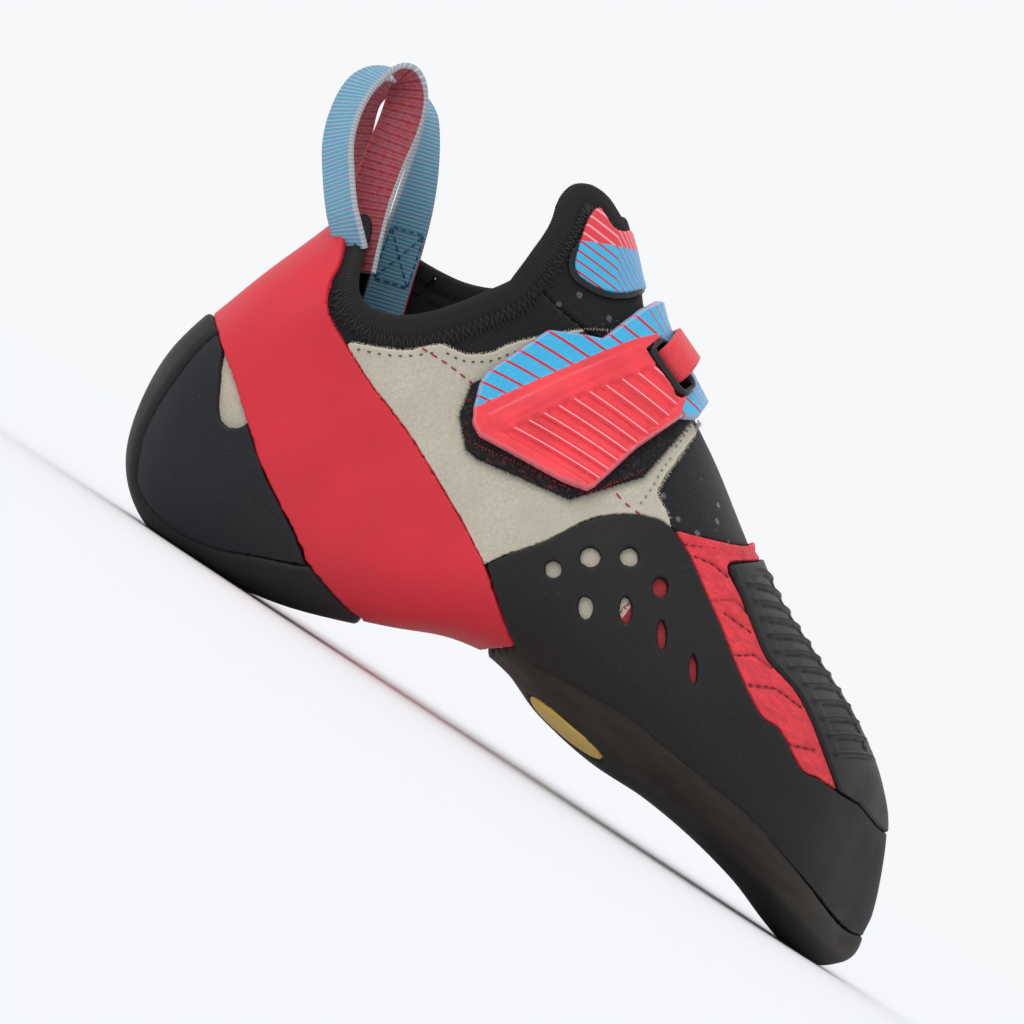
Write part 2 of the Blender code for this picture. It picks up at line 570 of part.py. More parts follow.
def smooth_path(points, count):
    """Points at even shares along a smooth curve through the given ones."""
    p = np.array(points, float)
    ends = np.vstack([2 * p[0] - p[1], p, 2 * p[-1] - p[-2]])
    made = []
    for place in np.linspace(0, len(p) - 1, count):
        i = min(int(place), len(p) - 2)
        t = place - i
        a, b, c, d = ends[i : i + 4]
        square, cube = 2 * a - 5 * b + 4 * c - d, 3 * b - a - 3 * c + d
        made.append(0.5 * (2 * b + (c - a) * t + square * t**2 + cube * t**3))
    return np.array(made)


def ribbon(name, points, across, width, thick, count):
    """A flat strip along a path. across gives the direction of its width at each point."""
    middle = smooth_path(points, count)
    wide = smooth_path(across, count)
    ahead = np.gradient(middle, axis=0)
    ahead /= np.linalg.norm(ahead, axis=1, keepdims=True)
    wide -= ahead * (wide * ahead).sum(1, keepdims=True)
    wide /= np.linalg.norm(wide, axis=1, keepdims=True)
    up = np.cross(ahead, wide)
    rings = [
        [m + w * a * width / 2 + n * b * thick / 2 for a, b in ((-1, -1), (1, -1), (1, 1), (-1, 1))]
        for m, w, n in zip(middle, wide, up)
    ]
    return add_object(name, mesh_from(name, lambda s: skin_rings(s, rings)), PARTS)


Bend = namedtuple("Bend", "x y z")
Loop = namedtuple("Loop", "side outer_angle inner_angle inner_end bends")
# The free part of each pull loop's middle line, from outside the rim over the top to the inside,
# in percent of LENGTH, BALL_WIDTH away from the middle, and HEIGHT.
PULL_LOOPS = {
    "pull_loop_lateral": Loop(-1, 50, 72, 0.125, [
        Bend(6.3, 23.5, 73.5), Bend(3.3, 22.0, 79.5), Bend(2.2, 20.5, 84.0), Bend(2.1, 19.0, 88.8),
        Bend(3.2, 17.0, 93.8), Bend(5.0, 15.0, 95.8), Bend(6.5, 14.5, 92.1), Bend(7.8, 15.0, 85.5),
        Bend(10.4, 17.5, 78.5),
    ]),
    "pull_loop_medial": Loop(1, 50, 84, 0.145, [
        Bend(6.3, 23.5, 73.5), Bend(3.3, 21.0, 79.5), Bend(2.1, 19.0, 84.5), Bend(2.0, 17.0, 89.3),
        Bend(3.4, 15.0, 94.0), Bend(5.8, 14.0, 95.9), Bend(8.4, 14.0, 94.2), Bend(10.2, 14.5, 89.5),
        Bend(12.4, 16.5, 83.0),
    ]),
}
LOOP_OUTER_SPAN = (0.118, 0.092)
LOOP_INNER_RUN = 0.045


def make_pull_loops():
    """Webbing sewn outside and inside the rim at the heel, its outer end butting on the band."""
    band = prism("loop_trim", band_outline(), grow=GAP)
    wall = bpy.data.objects.new("loop_seat", form(BINDING_RAISE + GAP).data.copy())
    bpy.data.collections[HELPERS].objects.link(wall)
    wall.hide_render = True
    wall.display_type = "WIRE"
    boolean(wall, "DIFFERENCE", form(-WALL - BINDING_RAISE - GAP))
    boolean(wall, "DIFFERENCE", rim_cutter("rim_over_seat", -GAP))
    for name, loop in PULL_LOOPS.items():
        clear = BINDING_RAISE + GAP + WEBBING_THICK / 2
        outer = [(u, loop.outer_angle, clear) for u in LOOP_OUTER_SPAN]
        inner = [
            (loop.inner_end - run, loop.inner_angle, -WALL - clear) for run in (LOOP_INNER_RUN, 0)
        ]

        def on_last(place, turn=0):
            u, angle, offset = place
            return last_surface(u, loop.side * (angle + turn), offset)

        free = [
            (b.x * LENGTH / 100, loop.side * b.y * BALL_WIDTH / 100, b.z * HEIGHT / 100)
            for b in loop.bends
        ]
        points = [on_last(p) for p in outer] + free + [on_last(p) for p in inner]
        leave, arrive = (on_last(p, 3) - on_last(p, -3) for p in (outer[-1], inner[0]))
        shares = np.clip(np.linspace(-0.2, 1.2, len(points)), 0, 1)
        across = [leave * (1 - share) + arrive * share for share in shares]
        webbing = ribbon(name, points, across, WEBBING_WIDTH, WEBBING_THICK, 26)
        boolean(webbing, "DIFFERENCE", band)
        boolean(webbing, "DIFFERENCE", wall)


Finish = namedtuple("Finish", "red green blue rough")
FINISHES = {
    "upper": Finish(0.012, 0.013, 0.015, 0.95),
    "tongue": Finish(0.012, 0.013, 0.015, 0.95),
    "tongue_patch": Finish(0.62, 0.06, 0.10, 0.60),
    "collar_binding": Finish(0.010, 0.010, 0.012, 0.85),
    "insole": Finish(0.020, 0.020, 0.022, 0.90),
    "quarter_lateral": Finish(0.58, 0.52, 0.42, 0.95),
    "quarter_medial": Finish(0.58, 0.52, 0.42, 0.95),
    "vamp": Finish(0.72, 0.06, 0.07, 0.75),
    "toe_rand": Finish(0.022, 0.022, 0.023, 0.62),
    "toe_patch": Finish(0.024, 0.024, 0.025, 0.60),
    "outsole": Finish(0.024, 0.022, 0.020, 0.70),
    "sole_inset": Finish(0.78, 0.62, 0.12, 0.55),
    "tension_band": Finish(0.62, 0.025, 0.040, 0.50),
    "heel_cup_lateral": Finish(0.030, 0.031, 0.035, 0.60),
    "heel_cup_medial": Finish(0.030, 0.031, 0.035, 0.60),
    "heel_strip": Finish(0.024, 0.024, 0.026, 0.65),
    "hook_pad": Finish(0.012, 0.012, 0.013, 0.95),
    "strap": Finish(0.70, 0.045, 0.060, 0.45),
    "slot_rim": Finish(0.012, 0.012, 0.013, 0.35),
    "keeper_loop": Finish(0.70, 0.06, 0.07, 0.85),
    "pull_loop_lateral": Finish(0.20, 0.50, 0.70, 0.80),
    "pull_loop_medial": Finish(0.20, 0.50, 0.70, 0.80),
}


def give_materials():
    for name, finish in FINISHES.items():
        material = bpy.data.materials.new(name)
        material.use_nodes = True
        surface = material.node_tree.nodes["Principled BSDF"]
        surface.inputs["Base Color"].default_value = (finish.red, finish.green, finish.blue, 1)
        surface.inputs["Roughness"].default_value = finish.rough
        surface.inputs["Metallic"].default_value = 0.0
        piece = bpy.data.objects[name]
        piece.data.materials.clear()
        piece.data.materials.append(material)
        piece.data.shade_smooth()


def centre_on_floor():
    """Hangs every piece on an empty that puts the middle of the shoe over the origin."""
    shoe = bpy.data.objects.new("shoe", None)
    bpy.data.collections[PARTS].objects.link(shoe)
    bpy.context.view_layer.update()
    graph = bpy.context.evaluated_depsgraph_get()
    corners = []
    for name in FINISHES:
        piece = bpy.data.objects[name].evaluated_get(graph)
        mesh = piece.to_mesh()
        corners += [piece.matrix_world @ vertex.co for vertex in mesh.vertices]
        piece.to_mesh_clear()
    corners = np.array(corners)
    middle = (corners.max(0) + corners.min(0)) / 2
    for item in list(bpy.data.objects):
        if item is not shoe and item.parent is None:
            item.parent = shoe
    shoe.location = (-middle[0], -middle[1], 0)


def main():
    for item in list(bpy.data.objects):
        bpy.data.objects.remove(item)
    for name in (PARTS, HELPERS):
        bpy.context.scene.collection.children.link(bpy.data.collections.new(name))
    make_upper()
    make_tongue()
    make_binding()
    make_insole()
    make_panels()
    make_soles()
    make_toe_patch()
    make_closure()
    make_pull_loops()
    give_materials()
    centre_on_floor()


main()
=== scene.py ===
"""Looks of a downturned climbing shoe for the right foot: its leathers, rubbers and webbing.

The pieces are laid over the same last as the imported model. Toe is +X and the lateral side is -Y.
"""

import math
from collections import namedtuple

import bmesh
import bpy
import numpy as np
from mathutils import Matrix, Vector


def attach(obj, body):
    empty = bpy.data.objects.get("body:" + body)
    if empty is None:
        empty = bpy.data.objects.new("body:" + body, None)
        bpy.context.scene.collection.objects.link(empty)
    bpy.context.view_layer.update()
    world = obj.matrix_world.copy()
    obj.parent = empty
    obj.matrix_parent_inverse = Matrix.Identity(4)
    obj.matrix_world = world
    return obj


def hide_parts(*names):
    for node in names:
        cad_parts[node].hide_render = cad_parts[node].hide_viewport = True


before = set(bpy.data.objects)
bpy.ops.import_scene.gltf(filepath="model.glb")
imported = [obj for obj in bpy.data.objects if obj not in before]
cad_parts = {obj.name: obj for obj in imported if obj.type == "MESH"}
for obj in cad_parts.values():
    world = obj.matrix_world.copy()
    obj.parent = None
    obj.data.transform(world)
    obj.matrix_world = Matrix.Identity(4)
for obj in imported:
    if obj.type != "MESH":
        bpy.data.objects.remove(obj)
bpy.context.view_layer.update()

bl_info = {
    "name": "Climbing Shoe",
    "version": (1, 0, 0),
    "blender": (4, 5, 0),
    "location": "View3D > Sidebar > Climbing Shoe",
    "description": "Builds a single-strap climbing shoe piece by piece over its last",
    "category": "Object",
}

# Fixed sizes of the last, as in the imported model, in metres.
LENGTH = 0.230
HEIGHT = 0.1325
BALL_WIDTH = 0.084
STRIP_THICK = 0.0027
SOLE_THICK = 0.0040
WALL = 0.0020
GAP = 0.0003
MM = 0.001
# Shift from the last's own origin to the frame's.
MIDDLE = np.array([-0.115429, -0.002348, 0.0])
# Metres in one percent of the last, seen from the side and from above.
SIDE_PERCENT = np.array([LENGTH, HEIGHT]) / 100
PLAN_PERCENT = np.array([LENGTH, BALL_WIDTH]) / 100
# Share of BALL_WIDTH over which the outline of one side turns into that of the other.
SIDE_BLEND = 0.60
# How far past u = 1 the toe's tip is rounded over.
TIP_SPAN = 0.02
# Half of the gap that is left between two panels.
SEAM = 0.0001
# Share of a grid step within which a panel's edge takes the grid's own points.
NEAR_EDGE = 0.18

Grid = namedtuple("Grid", "step edge")
# Step of each panel's mesh and radius of its rounded edge, in millimetres.
GRIDS = {
    "upper_body": Grid(2.1, 0.6), "tongue_front": Grid(1.2, 0.6), "footbed": Grid(2.4, 0.5),
    "suede_side_lateral": Grid(0.95, 0.35), "suede_side_medial": Grid(1.3, 0.35),
    "suede_under_rubber": Grid(1.8, 0.1), "toe_microfibre": Grid(0.6, 0.4),
    "microfibre_under_rand": Grid(1.2, 0.1), "heel_band": Grid(1.5, 0.6),
    "heel_side_lateral": Grid(0.9, 0.5), "heel_side_medial": Grid(0.9, 0.5),
    "heel_rubber": Grid(1.1, 1.4), "toe_rubber": Grid(0.95, 0.45),
    "toe_top_rubber": Grid(0.58, 0.6), "half_sole": Grid(1.1, 0.5), "sole_oval": Grid(0.6, 0.4),
    "hook_field": Grid(1.1, 0.4), "moulded_strap": Grid(0.47, 0.8),
    "print_border": Grid(0.8, 0.5), "tongue_print": Grid(0.62, 0.5),
}


def srgb(red, green, blue):
    """A colour as seen on screen, 0 to 255, made scene linear."""
    shares = np.array([red, green, blue]) / 255
    low = shares / 12.92
    high = ((shares + 0.055) / 1.055) ** 2.4
    return tuple(float(v) for v in np.where(shares <= 0.04045, low, high))


def size_prop(name, text, default):
    return bpy.props.FloatProperty(
        name=name, description=text, default=default, min=0.0, unit="LENGTH", precision=5
    )


def colour_prop(name, text, default):
    return bpy.props.FloatVectorProperty(
        name=name, description=text, default=default, size=3, min=0.0, max=1.0, subtype="COLOR"
    )


class ShoeSizes(bpy.types.PropertyGroup):
    suede: size_prop("Suede", "Thickness of the suede sides", 0.0011)
    microfibre: size_prop("Microfibre", "Thickness of the panel over the toes", 0.0011)
    band: size_prop("Band", "Thickness of the heel band", 0.0016)
    cup: size_prop("Heel cup", "Thickness of the heel's side panels", 0.0017)
    strip: size_prop("Heel strip", "Thickness of the rubber round the heel", STRIP_THICK)
    rand: size_prop("Toe rand", "Thickness of the rubber round the toes", 0.0016)
    patch: size_prop("Toe patch", "Thickness of the rubber over the toes", 0.0020)
    rib: size_prop("Rib", "Height of the ribs of the toe patch", 0.0010)
    rib_pitch: size_prop("Rib pitch", "Distance from rib to rib", 0.0047)
    sole: size_prop("Sole", "Thickness of the outsole", SOLE_THICK)
    pad: size_prop("Hook pad", "Thickness of the pad under the strap", 0.0012)
    strap: size_prop("Strap", "Thickness of the moulded strap", 0.0030)
    tape: size_prop("Tape width", "Width of the tape at the collar", 0.0070)
    tape_raise: size_prop("Tape thickness", "Thickness of the tape at the collar", 0.0009)
    webbing: size_prop("Webbing width", "Width of the pull loops", 0.0115)
    webbing_thick: size_prop("Webbing thickness", "Thickness of the pull loops", 0.0013)
    keeper: size_prop("Keeper width", "Width of the loop in the strap's slot", 0.0095)
    keeper_thick: size_prop("Keeper thickness", "Thickness of that loop", 0.0016)
    stitch: size_prop("Stitch", "Length of a stitch", 0.0022)
    weave: size_prop("Weave", "Distance from cross thread to cross thread", 0.0010)


class ShoeColours(bpy.types.PropertyGroup):
    band_red: colour_prop("Band red", "Latex of the heel band", srgb(214, 34, 52))
    strap_red: colour_prop("Strap red", "Moulded strap", srgb(246, 62, 74))
    strap_blue: colour_prop("Strap blue", "Printed fields of the strap", srgb(64, 190, 238))
    microfibre_red: colour_prop("Microfibre red", "Panel over the toes", srgb(228, 54, 66))
    keeper_red: colour_prop("Keeper red", "Suede of the keeper", srgb(246, 76, 84))
    suede: colour_prop("Suede", "Sides of the shoe", srgb(205, 198, 180))
    rubber: colour_prop("Rubber", "Sole and rand", srgb(22, 22, 22))
    heel_rubber: colour_prop("Heel rubber", "Sides of the heel", srgb(24, 25, 30))
    sanded: colour_prop("Sanded rubber", "Ground edge of the sole", srgb(44, 39, 34))
    cloth: colour_prop("Stretch cloth", "Body and tongue", srgb(18, 18, 22))
    dot: colour_prop("Cloth dots", "Small openings of the mesh", srgb(150, 150, 155))
    tape: colour_prop("Tape", "Elastic tape at the collar", srgb(26, 26, 28))
    webbing_blue: colour_prop("Webbing blue", "Outer face of the pull loops", srgb(126, 194, 224))
    webbing_red: colour_prop("Webbing red", "Inner face of the pull loops", srgb(204, 44, 54))
    inset: colour_prop("Inset", "Oval under the sole", srgb(254, 218, 104))
    thread_red: colour_prop("Red thread", "Seams of the suede", srgb(176, 24, 40))
    pale: colour_prop("Pale line", "Fine lines of the strap", srgb(250, 178, 190))


Station = namedtuple(
    "Station",
    "foot_x foot_z strip sole top_x top_z lateral medial widest low high foot_y top_y cant",
)
# One row for each section of the last, from the mouth of the collar round the heel to the toe.
# foot and top are the ends of the section's middle line, in percent of LENGTH and HEIGHT.
# strip and sole tell how much of the rubber's thickness lies under the last there.
# lateral, medial, foot_y and top_y are percent of BALL_WIDTH. widest is the share of the
# section's height at which it is widest, low and high are the fullness below and above it,
# and cant is the slope of the underside, up towards the lateral side.
STATIONS = [
    Station(10.0, 81.5, 0.2, 0.0, 27.0, 107.2, 25, 25, 0.45, 2.1, 2.2, 0, 0, 0.00),
    Station(8.7, 74.7, 0.3, 0.0, 30.4, 103.0, 27, 27, 0.45, 2.1, 2.2, 0, 0, 0.00),
    Station(5.7, 60.4, 0.6, 0.0, 33.5, 98.9, 30, 30, 0.43, 2.1, 2.2, 0, 0, 0.00),
    Station(2.0, 43.0, 1.0, 0.0, 36.1, 95.1, 32, 32, 0.36, 2.2, 2.1, 0, 0, 0.00),
    Station(0.0, 26.4, 1.0, 0.0, 38.1, 91.7, 33, 33, 0.30, 2.3, 2.0, 0, 0, 0.00),
    Station(2.0, 9.4, 1.0, 0.0, 39.3, 89.8, 33, 33, 0.28, 2.4, 2.0, 0, 0, 0.00),
    Station(7.4, 0.6, 1.0, 0.0, 40.4, 87.6, 34, 33, 0.26, 2.6, 2.0, 0, 0, 0.00),
    Station(15.2, -0.6, 1.0, 0.0, 41.7, 85.4, 34, 34, 0.25, 2.7, 2.0, 0, 0, 0.00),
    Station(24.3, 1.6, 1.0, 0.0, 43.5, 83.0, 35, 33, 0.25, 2.7, 2.0, 0, 0, 0.00),
    Station(33.5, 7.0, 0.7, 0.0, 46.1, 80.4, 36, 33, 0.26, 2.6, 2.0, 0, 1, 0.03),
    Station(42.2, 12.2, 0.4, 0.3, 49.6, 77.0, 38, 34, 0.28, 2.6, 2.0, 0, 2, 0.08),
    Station(49.3, 11.9, 0.0, 1.0, 53.3, 73.4, 41, 36, 0.30, 2.7, 2.0, 0, 4, 0.14),
    Station(56.1, 8.3, 0.0, 1.0, 57.5, 69.0, 44, 39, 0.31, 2.8, 2.0, 0, 6, 0.20),
    Station(63.5, 6.3, 0.0, 1.0, 63.4, 61.9, 46, 42, 0.33, 2.9, 2.1, 0, 8, 0.22),
    Station(70.9, 6.2, 0.0, 1.0, 70.0, 54.1, 46, 44, 0.35, 2.9, 2.1, 1, 9, 0.20),
    Station(78.3, 5.0, 0.0, 1.0, 77.3, 48.4, 43, 42, 0.37, 2.8, 2.2, 4, 12, 0.17),
    Station(84.8, 2.9, 0.0, 1.0, 83.9, 43.4, 37.5, 38, 0.39, 2.8, 2.3, 9, 15, 0.14),
    Station(90.0, 0.2, 0.0, 1.0, 88.9, 38.3, 29.5, 32, 0.40, 2.7, 2.3, 14, 18, 0.09),
    Station(94.2, -1.3, 0.0, 1.0, 92.0, 33.9, 21, 24, 0.41, 2.6, 2.3, 18.5, 20, 0.05),
    Station(96.4, -0.6, 0.0, 1.0, 94.1, 29.9, 15, 17.5, 0.43, 2.5, 2.3, 21, 21.5, 0.02),
    Station(97.8, 2.4, 0.0, 0.7, 95.9, 24.3, 10, 12, 0.45, 2.4, 2.3, 22, 22, 0.00),
    Station(98.5, 5.2, 0.0, 0.4, 97.6, 17.6, 5.5, 6.5, 0.50, 2.2, 2.2, 22.5, 22.5, 0.00),
    Station(98.9, 10.2, 0.0, 0.0, 98.8, 11.4, 0.1, 0.1, 0.50, 2.0, 2.0, 22.5, 22.5, 0.00),
]

# Seams as seen from the side, in percent of LENGTH and HEIGHT.
Rim = namedtuple("Rim", "x lateral_z medial_z tape")
# Rim of the collar from the heel to the top of the tongue: its height on each side, and the
# share of the tape's width there.
RIM = [
    Rim(8.5, 74.3, 74.3, 0.7), Rim(10.0, 71.5, 73.6, 0.35), Rim(11.4, 65.8, 73.0, 0.25),
    Rim(13.4, 59.4, 72.4, 0.6), Rim(15.2, 57.4, 72.2, 0.9), Rim(17.5, 57.6, 72.2, 1.0),
    Rim(20.0, 59.8, 72.5, 1.0), Rim(22.1, 63.2, 73.0, 1.0), Rim(24.0, 67.2, 74.0, 1.0),
    Rim(25.8, 71.8, 75.5, 1.0), Rim(27.3, 75.9, 78.0, 1.0), Rim(28.4, 80.2, 81.0, 1.0),
    Rim(28.5, 84.4, 84.4, 0.9), Rim(27.9, 88.4, 88.4, 0.8), Rim(27.1, 92.2, 92.2, 0.7),
    Rim(26.8, 95.3, 95.3, 0.6), Rim(27.1, 98.0, 98.0, 0.5), Rim(28.0, 99.6, 99.6, 0.5),
    Rim(29.2, 100.4, 100.4, 0.5), Rim(31.0, 100.3, 100.3, 0.5), Rim(33.2, 98.8, 98.8, 0.5),
]
ABOVE_RIM = [(37.0, 110.0), (37.0, 135.0), (-8.0, 135.0), (-8.0, 76.5)]
BAND_REAR = [
    (1.0, 41.5), (5.4, 35.5), (8.0, 32.2), (12.4, 25.9), (16.6, 20.4), (23.4, 13.6),
    (25.8, 10.9), (31.5, 8.2), (33.4, 8.0),
]
BAND_FRONT = [
    (6.7, 68.7), (9.3, 66.9), (10.6, 61.5), (10.9, 57.7), (11.7, 54.3), (13.0, 51.8),
    (15.9, 49.2), (20.4, 45.6), (26.8, 41.7), (33.9, 35.9), (37.8, 32.5), (41.6, 28.7),
    (43.8, 25.9), (46.8, 22.0), (49.1, 19.5),
]
CUP_GROOVE = [
    (3.8, 38.0), (3.0, 33.0), (2.7, 27.4), (2.6, 20.8), (2.9, 15.2), (3.5, 11.9),
    (5.3, 6.2), (8.5, 3.4), (12.2, 2.9), (16.2, 4.1), (20.2, 6.9), (24.4, 9.7),
]
CUP_WINDOW = [
    (11.8, 26.8), (11.4, 25.4), (10.5, 24.3), (9.2, 24.7), (8.1, 26.8), (7.0, 30.2), (6.1, 32.8),
]
# Lower front corner of the heel's sides, up to the band's edge.
CUP_CORNER = [(20.0, 7.2), (25.6, 10.6), (23.6, 13.2), (20.0, 16.0)]
SOLE_TOP_LATERAL = [
    (46.5, 15.8), (49.1, 19.3), (52.2, 19.0), (57.7, 19.3), (63.3, 19.8), (70.4, 18.5),
    (79.1, 17.1), (86.5, 14.3), (91.5, 12.1), (97.0, 8.8), (99.4, 9.3),
]
SOLE_TOP_MEDIAL = [
    (46.5, 14.5), (49.1, 15.5), (52.2, 15.5), (57.7, 14.5), (63.3, 13.8), (70.4, 13.0),
    (79.1, 12.2), (86.5, 10.8), (91.5, 9.8), (97.0, 8.8), (99.4, 9.3),
]
RAND_TOP = [
    (41.6, 29.1), (42.8, 32.5), (45.6, 38.8), (48.3, 46.8), (51.5, 51.5), (54.2, 53.6),
    (56.3, 53.6), (59.0, 51.6), (62.6, 47.5), (66.5, 43.0), (71.1, 37.4), (75.1, 33.5),
    (77.7, 33.2), (82.0, 29.4), (84.1, 29.7), (87.0, 29.7),
]
PATCH_EDGE = [
    (66.5, 58.5), (63.5, 53.9), (67.0, 49.6), (71.7, 43.8), (73.5, 42.6), (77.0, 41.1),
    (80.2, 38.1), (83.3, 34.3), (87.0, 29.8), (89.9, 30.0), (93.5, 28.5), (96.0, 28.5),
]
VAMP_TOP = [(56.4, 53.6), (60.3, 56.0), (64.0, 58.9), (65.0, 62.0), (66.0, 67.0)]
THROAT = [
    (28.5, 84.5), (29.3, 79.0), (33.5, 77.0), (38.5, 76.0), (44.5, 73.5), (49.0, 68.5),
    (51.5, 61.0), (53.3, 55.5), (56.4, 53.2), (60.3, 55.6), (63.8, 58.4), (65.2, 62.0),
    (66.0, 75.0), (56.0, 90.0), (42.0, 105.0), (30.0, 115.0), (22.0, 112.0), (24.0, 95.0),
]
QUARTER_TOP = [
    (16.5, 50.2), (19.1, 52.1), (21.9, 54.7), (24.5, 59.0), (27.2, 60.0), (29.5, 63.0),
    (30.8, 66.6), (33.7, 72.0), (36.5, 76.5), (39.5, 79.5), (43.0, 81.0), (47.5, 80.5),
    (52.7, 74.7), (52.8, 69.1), (52.6, 60.6), (53.0, 57.7), (55.2, 55.3), (56.3, 53.9),
]
PAD_OUTLINE = [
    (30.5, 49.7), (33.1, 45.1), (34.5, 44.8), (45.2, 47.8), (50.5, 59.0), (51.5, 70.5),
    (51.6, 74.2), (45.0, 83.0), (35.0, 73.0), (30.1, 57.5), (29.7, 55.8),
]
STRAP_OUTLINE = [
    (31.1, 52.7), (30.3, 57.1), (30.3, 59.5), (33.3, 72.6), (36.5, 75.5), (38.7, 77.1),
    (40.6, 86.3), (41.9, 90.5), (47.0, 92.5), (53.0, 88.0), (52.6, 81.1), (52.3, 74.6),
    (50.7, 72.8), (48.3, 62.9), (46.8, 52.6), (46.3, 51.0), (43.7, 49.9), (33.3, 48.4),
    (32.0, 49.8),
]
# Red field of the strap, its raised bar, and the field of channels under the bar.
STRAP_RED = [
    (28.0, 46.0), (31.3, 52.5), (39.6, 75.1), (41.8, 80.6), (43.5, 83.9), (44.9, 83.6),
    (47.0, 82.8), (49.6, 79.5), (49.9, 76.9), (50.5, 72.9), (50.2, 68.6), (50.2, 60.0),
    (48.5, 46.0),
]
STRAP_BAR = [(34.3, 50.8), (32.9, 52.4), (37.6, 66.5), (43.0, 80.9), (44.5, 81.5), (38.6, 64.4)]
STRAP_CHANNELS = [
    (34.9, 51.0), (46.3, 51.5), (46.9, 53.1), (48.1, 62.7), (49.8, 72.2), (49.6, 75.8),
    (48.6, 79.4), (45.8, 80.6), (40.0, 66.0),
]
# Holes of the rand: place, width and height in percent of HOLE_DIAMETER. The longer ones lean
# forward by HOLE_TILT as they run down.
Hole = namedtuple("Hole", "x z wide high")
RAND_HOLES = [
    Hole(47.9, 35.1, 89, 89), Hole(50.5, 40.8, 105, 105), Hole(54.0, 44.8, 100, 100),
    Hole(58.5, 43.2, 83, 105), Hole(53.0, 32.4, 78, 122), Hole(56.7, 36.1, 61, 144),
    Hole(61.4, 35.9, 46, 155), Hole(66.2, 33.8, 42, 155),
]
HOLE_DIAMETER = 0.0046
HOLE_TILT = 33
INSET_CENTRE = (58.9, 2.0)
INSET_RADII = (5.1, 9.5)
INSET_DEPTH = 0.0008
INSOLE_SPAN = (0.22, 0.90)
INSOLE_HALF_ANGLE = 50
INSOLE_THICK = 0.0015
SLOT_PLACE = (0.415, -160.0)
SLOT_LENGTH = 0.0125
SLOT_HEIGHT = 0.0052
SLOT_RIM = 0.0012
KEEPER_SPAN = 0.415
# Run of the keeper: angle round the last, height as a share of its height over the strap, and
# how far it leans ahead as a share of its width.
KEEPER_BENDS = [
    (-159.2, 0.50, -0.05), (-160.2, 0.80, -0.06), (-163.0, 1.02, -0.12), (-168.0, 1.05, -0.22),
    (-174.0, 1.02, -0.30), (-180.0, 0.98, -0.32), (-187.0, 0.80, -0.32), (-196.0, 0.42, -0.30),
]
THROAT_EDGE_LATERAL = -0.10
THROAT_EDGE_MEDIAL = 0.22
STRAP_EDGE = 0.05
RIB_LINE = [(69.5, 58.0), (94.0, 33.0)]
RIB_COUNT = 11
# Crest of the toe patch as a share of BALL_WIDTH, and how far the ribs sweep back from it.
RIB_CREST = 0.13
RIB_SWEEP = 0.30
Bend = namedtuple("Bend", "x y z turn")
# Middle line of each pull loop from the outside of the rim over the top to the inside, in
# percent of LENGTH, BALL_WIDTH away from the middle, and HEIGHT. turn is how far its outer
# face is turned to the lateral side there, in degrees.
LATERAL_LOOP = [
    Bend(10.6, 23.4, 65.0, 40), Bend(8.9, 25.0, 67.8, 40), Bend(7.4, 25.3, 70.3, 40),
    Bend(5.3, 24.2, 74.8, 40),
    Bend(3.1, 22.5, 80.4, 40), Bend(1.9, 20.5, 86.2, 40), Bend(1.6, 18.5, 91.7, 38),
    Bend(2.3, 17.0, 95.6, 25), Bend(3.7, 16.0, 98.2, 0), Bend(5.3, 15.5, 98.2, -35),
    Bend(6.4, 15.0, 95.4, -62), Bend(7.4, 15.0, 90.1, -74), Bend(8.2, 15.5, 82.8, -72),
    Bend(9.3, 16.5, 75.6, -66), Bend(10.8, 17.5, 68.6, -60), Bend(12.4, 18.5, 62.0, -54),
]
MEDIAL_LOOP = [
    Bend(10.8, 24.2, 66.4, -25), Bend(9.1, 25.7, 69.2, -25), Bend(7.3, 25.9, 73.6, -28),
    Bend(4.7, 25.0, 79.7, -32),
    Bend(2.9, 22.5, 86.6, -35), Bend(1.9, 20.0, 92.2, -32), Bend(2.4, 18.0, 95.8, -20),
    Bend(4.0, 16.5, 98.2, -5), Bend(6.2, 15.5, 98.6, 8), Bend(8.2, 15.0, 97.0, 16),
    Bend(9.5, 15.0, 94.4, 22), Bend(11.2, 15.0, 88.2, 38), Bend(12.7, 15.5, 81.2, 55),
    Bend(14.0, 16.5, 74.0, 68), Bend(15.2, 17.5, 66.4, 78), Bend(16.6, 18.0, 58.4, 84),
]
# The sewn box of the medial loop: how far its two ends lie from the webbing's end, and its
# half width as a share of the webbing's.
STITCH_BOX = (0.0235, 0.0095)
STITCH_BOX_HALF = 0.40
# How far below the rim the cloth ends, inside the tape.
UNDER_TAPE = 0.0018
# How far under the rim's line the tape's fold starts, which its rounded top makes up for.
RIM_DROP = 0.0010
# Distance between the tape's ribs, and the share of its width that is its rounded top.
TAPE_RIB = 0.00075
PIPING = 0.52
# Opening of the lateral suede above the strap, where the cloth shows.
SUEDE_OPENING = [
    (36.0, 73.5), (36.9, 77.0), (38.2, 80.3), (40.1, 83.2), (41.5, 82.0), (41.0, 78.0),
    (38.0, 73.0),
]
# What shows through the rubber: suede behind the rear holes and the heel's windows, and
# microfibre behind the front holes.
SUEDE_BEHIND_HOLES = [
    (43.0, 27.0), (43.5, 34.5), (48.5, 46.5), (53.5, 51.0), (57.0, 50.0), (57.0, 43.0),
    (55.5, 30.0), (43.0, 27.0),
]
SUEDE_BEHIND_WINDOW = [(2.5, 36.0), (6.0, 38.0), (14.5, 28.0), (12.5, 21.5), (7.0, 21.5)]
MICROFIBRE_BEHIND_HOLES = [
    (55.5, 30.0), (57.2, 43.0), (57.2, 46.5), (61.5, 46.0), (69.0, 36.0), (69.0, 30.0),
    (62.0, 29.5), (55.5, 30.0),
]
# Height over the last of that suede and microfibre, and their thickness.
BACKING_BASE = 0.04 * MM
BACKING = 0.2 * MM
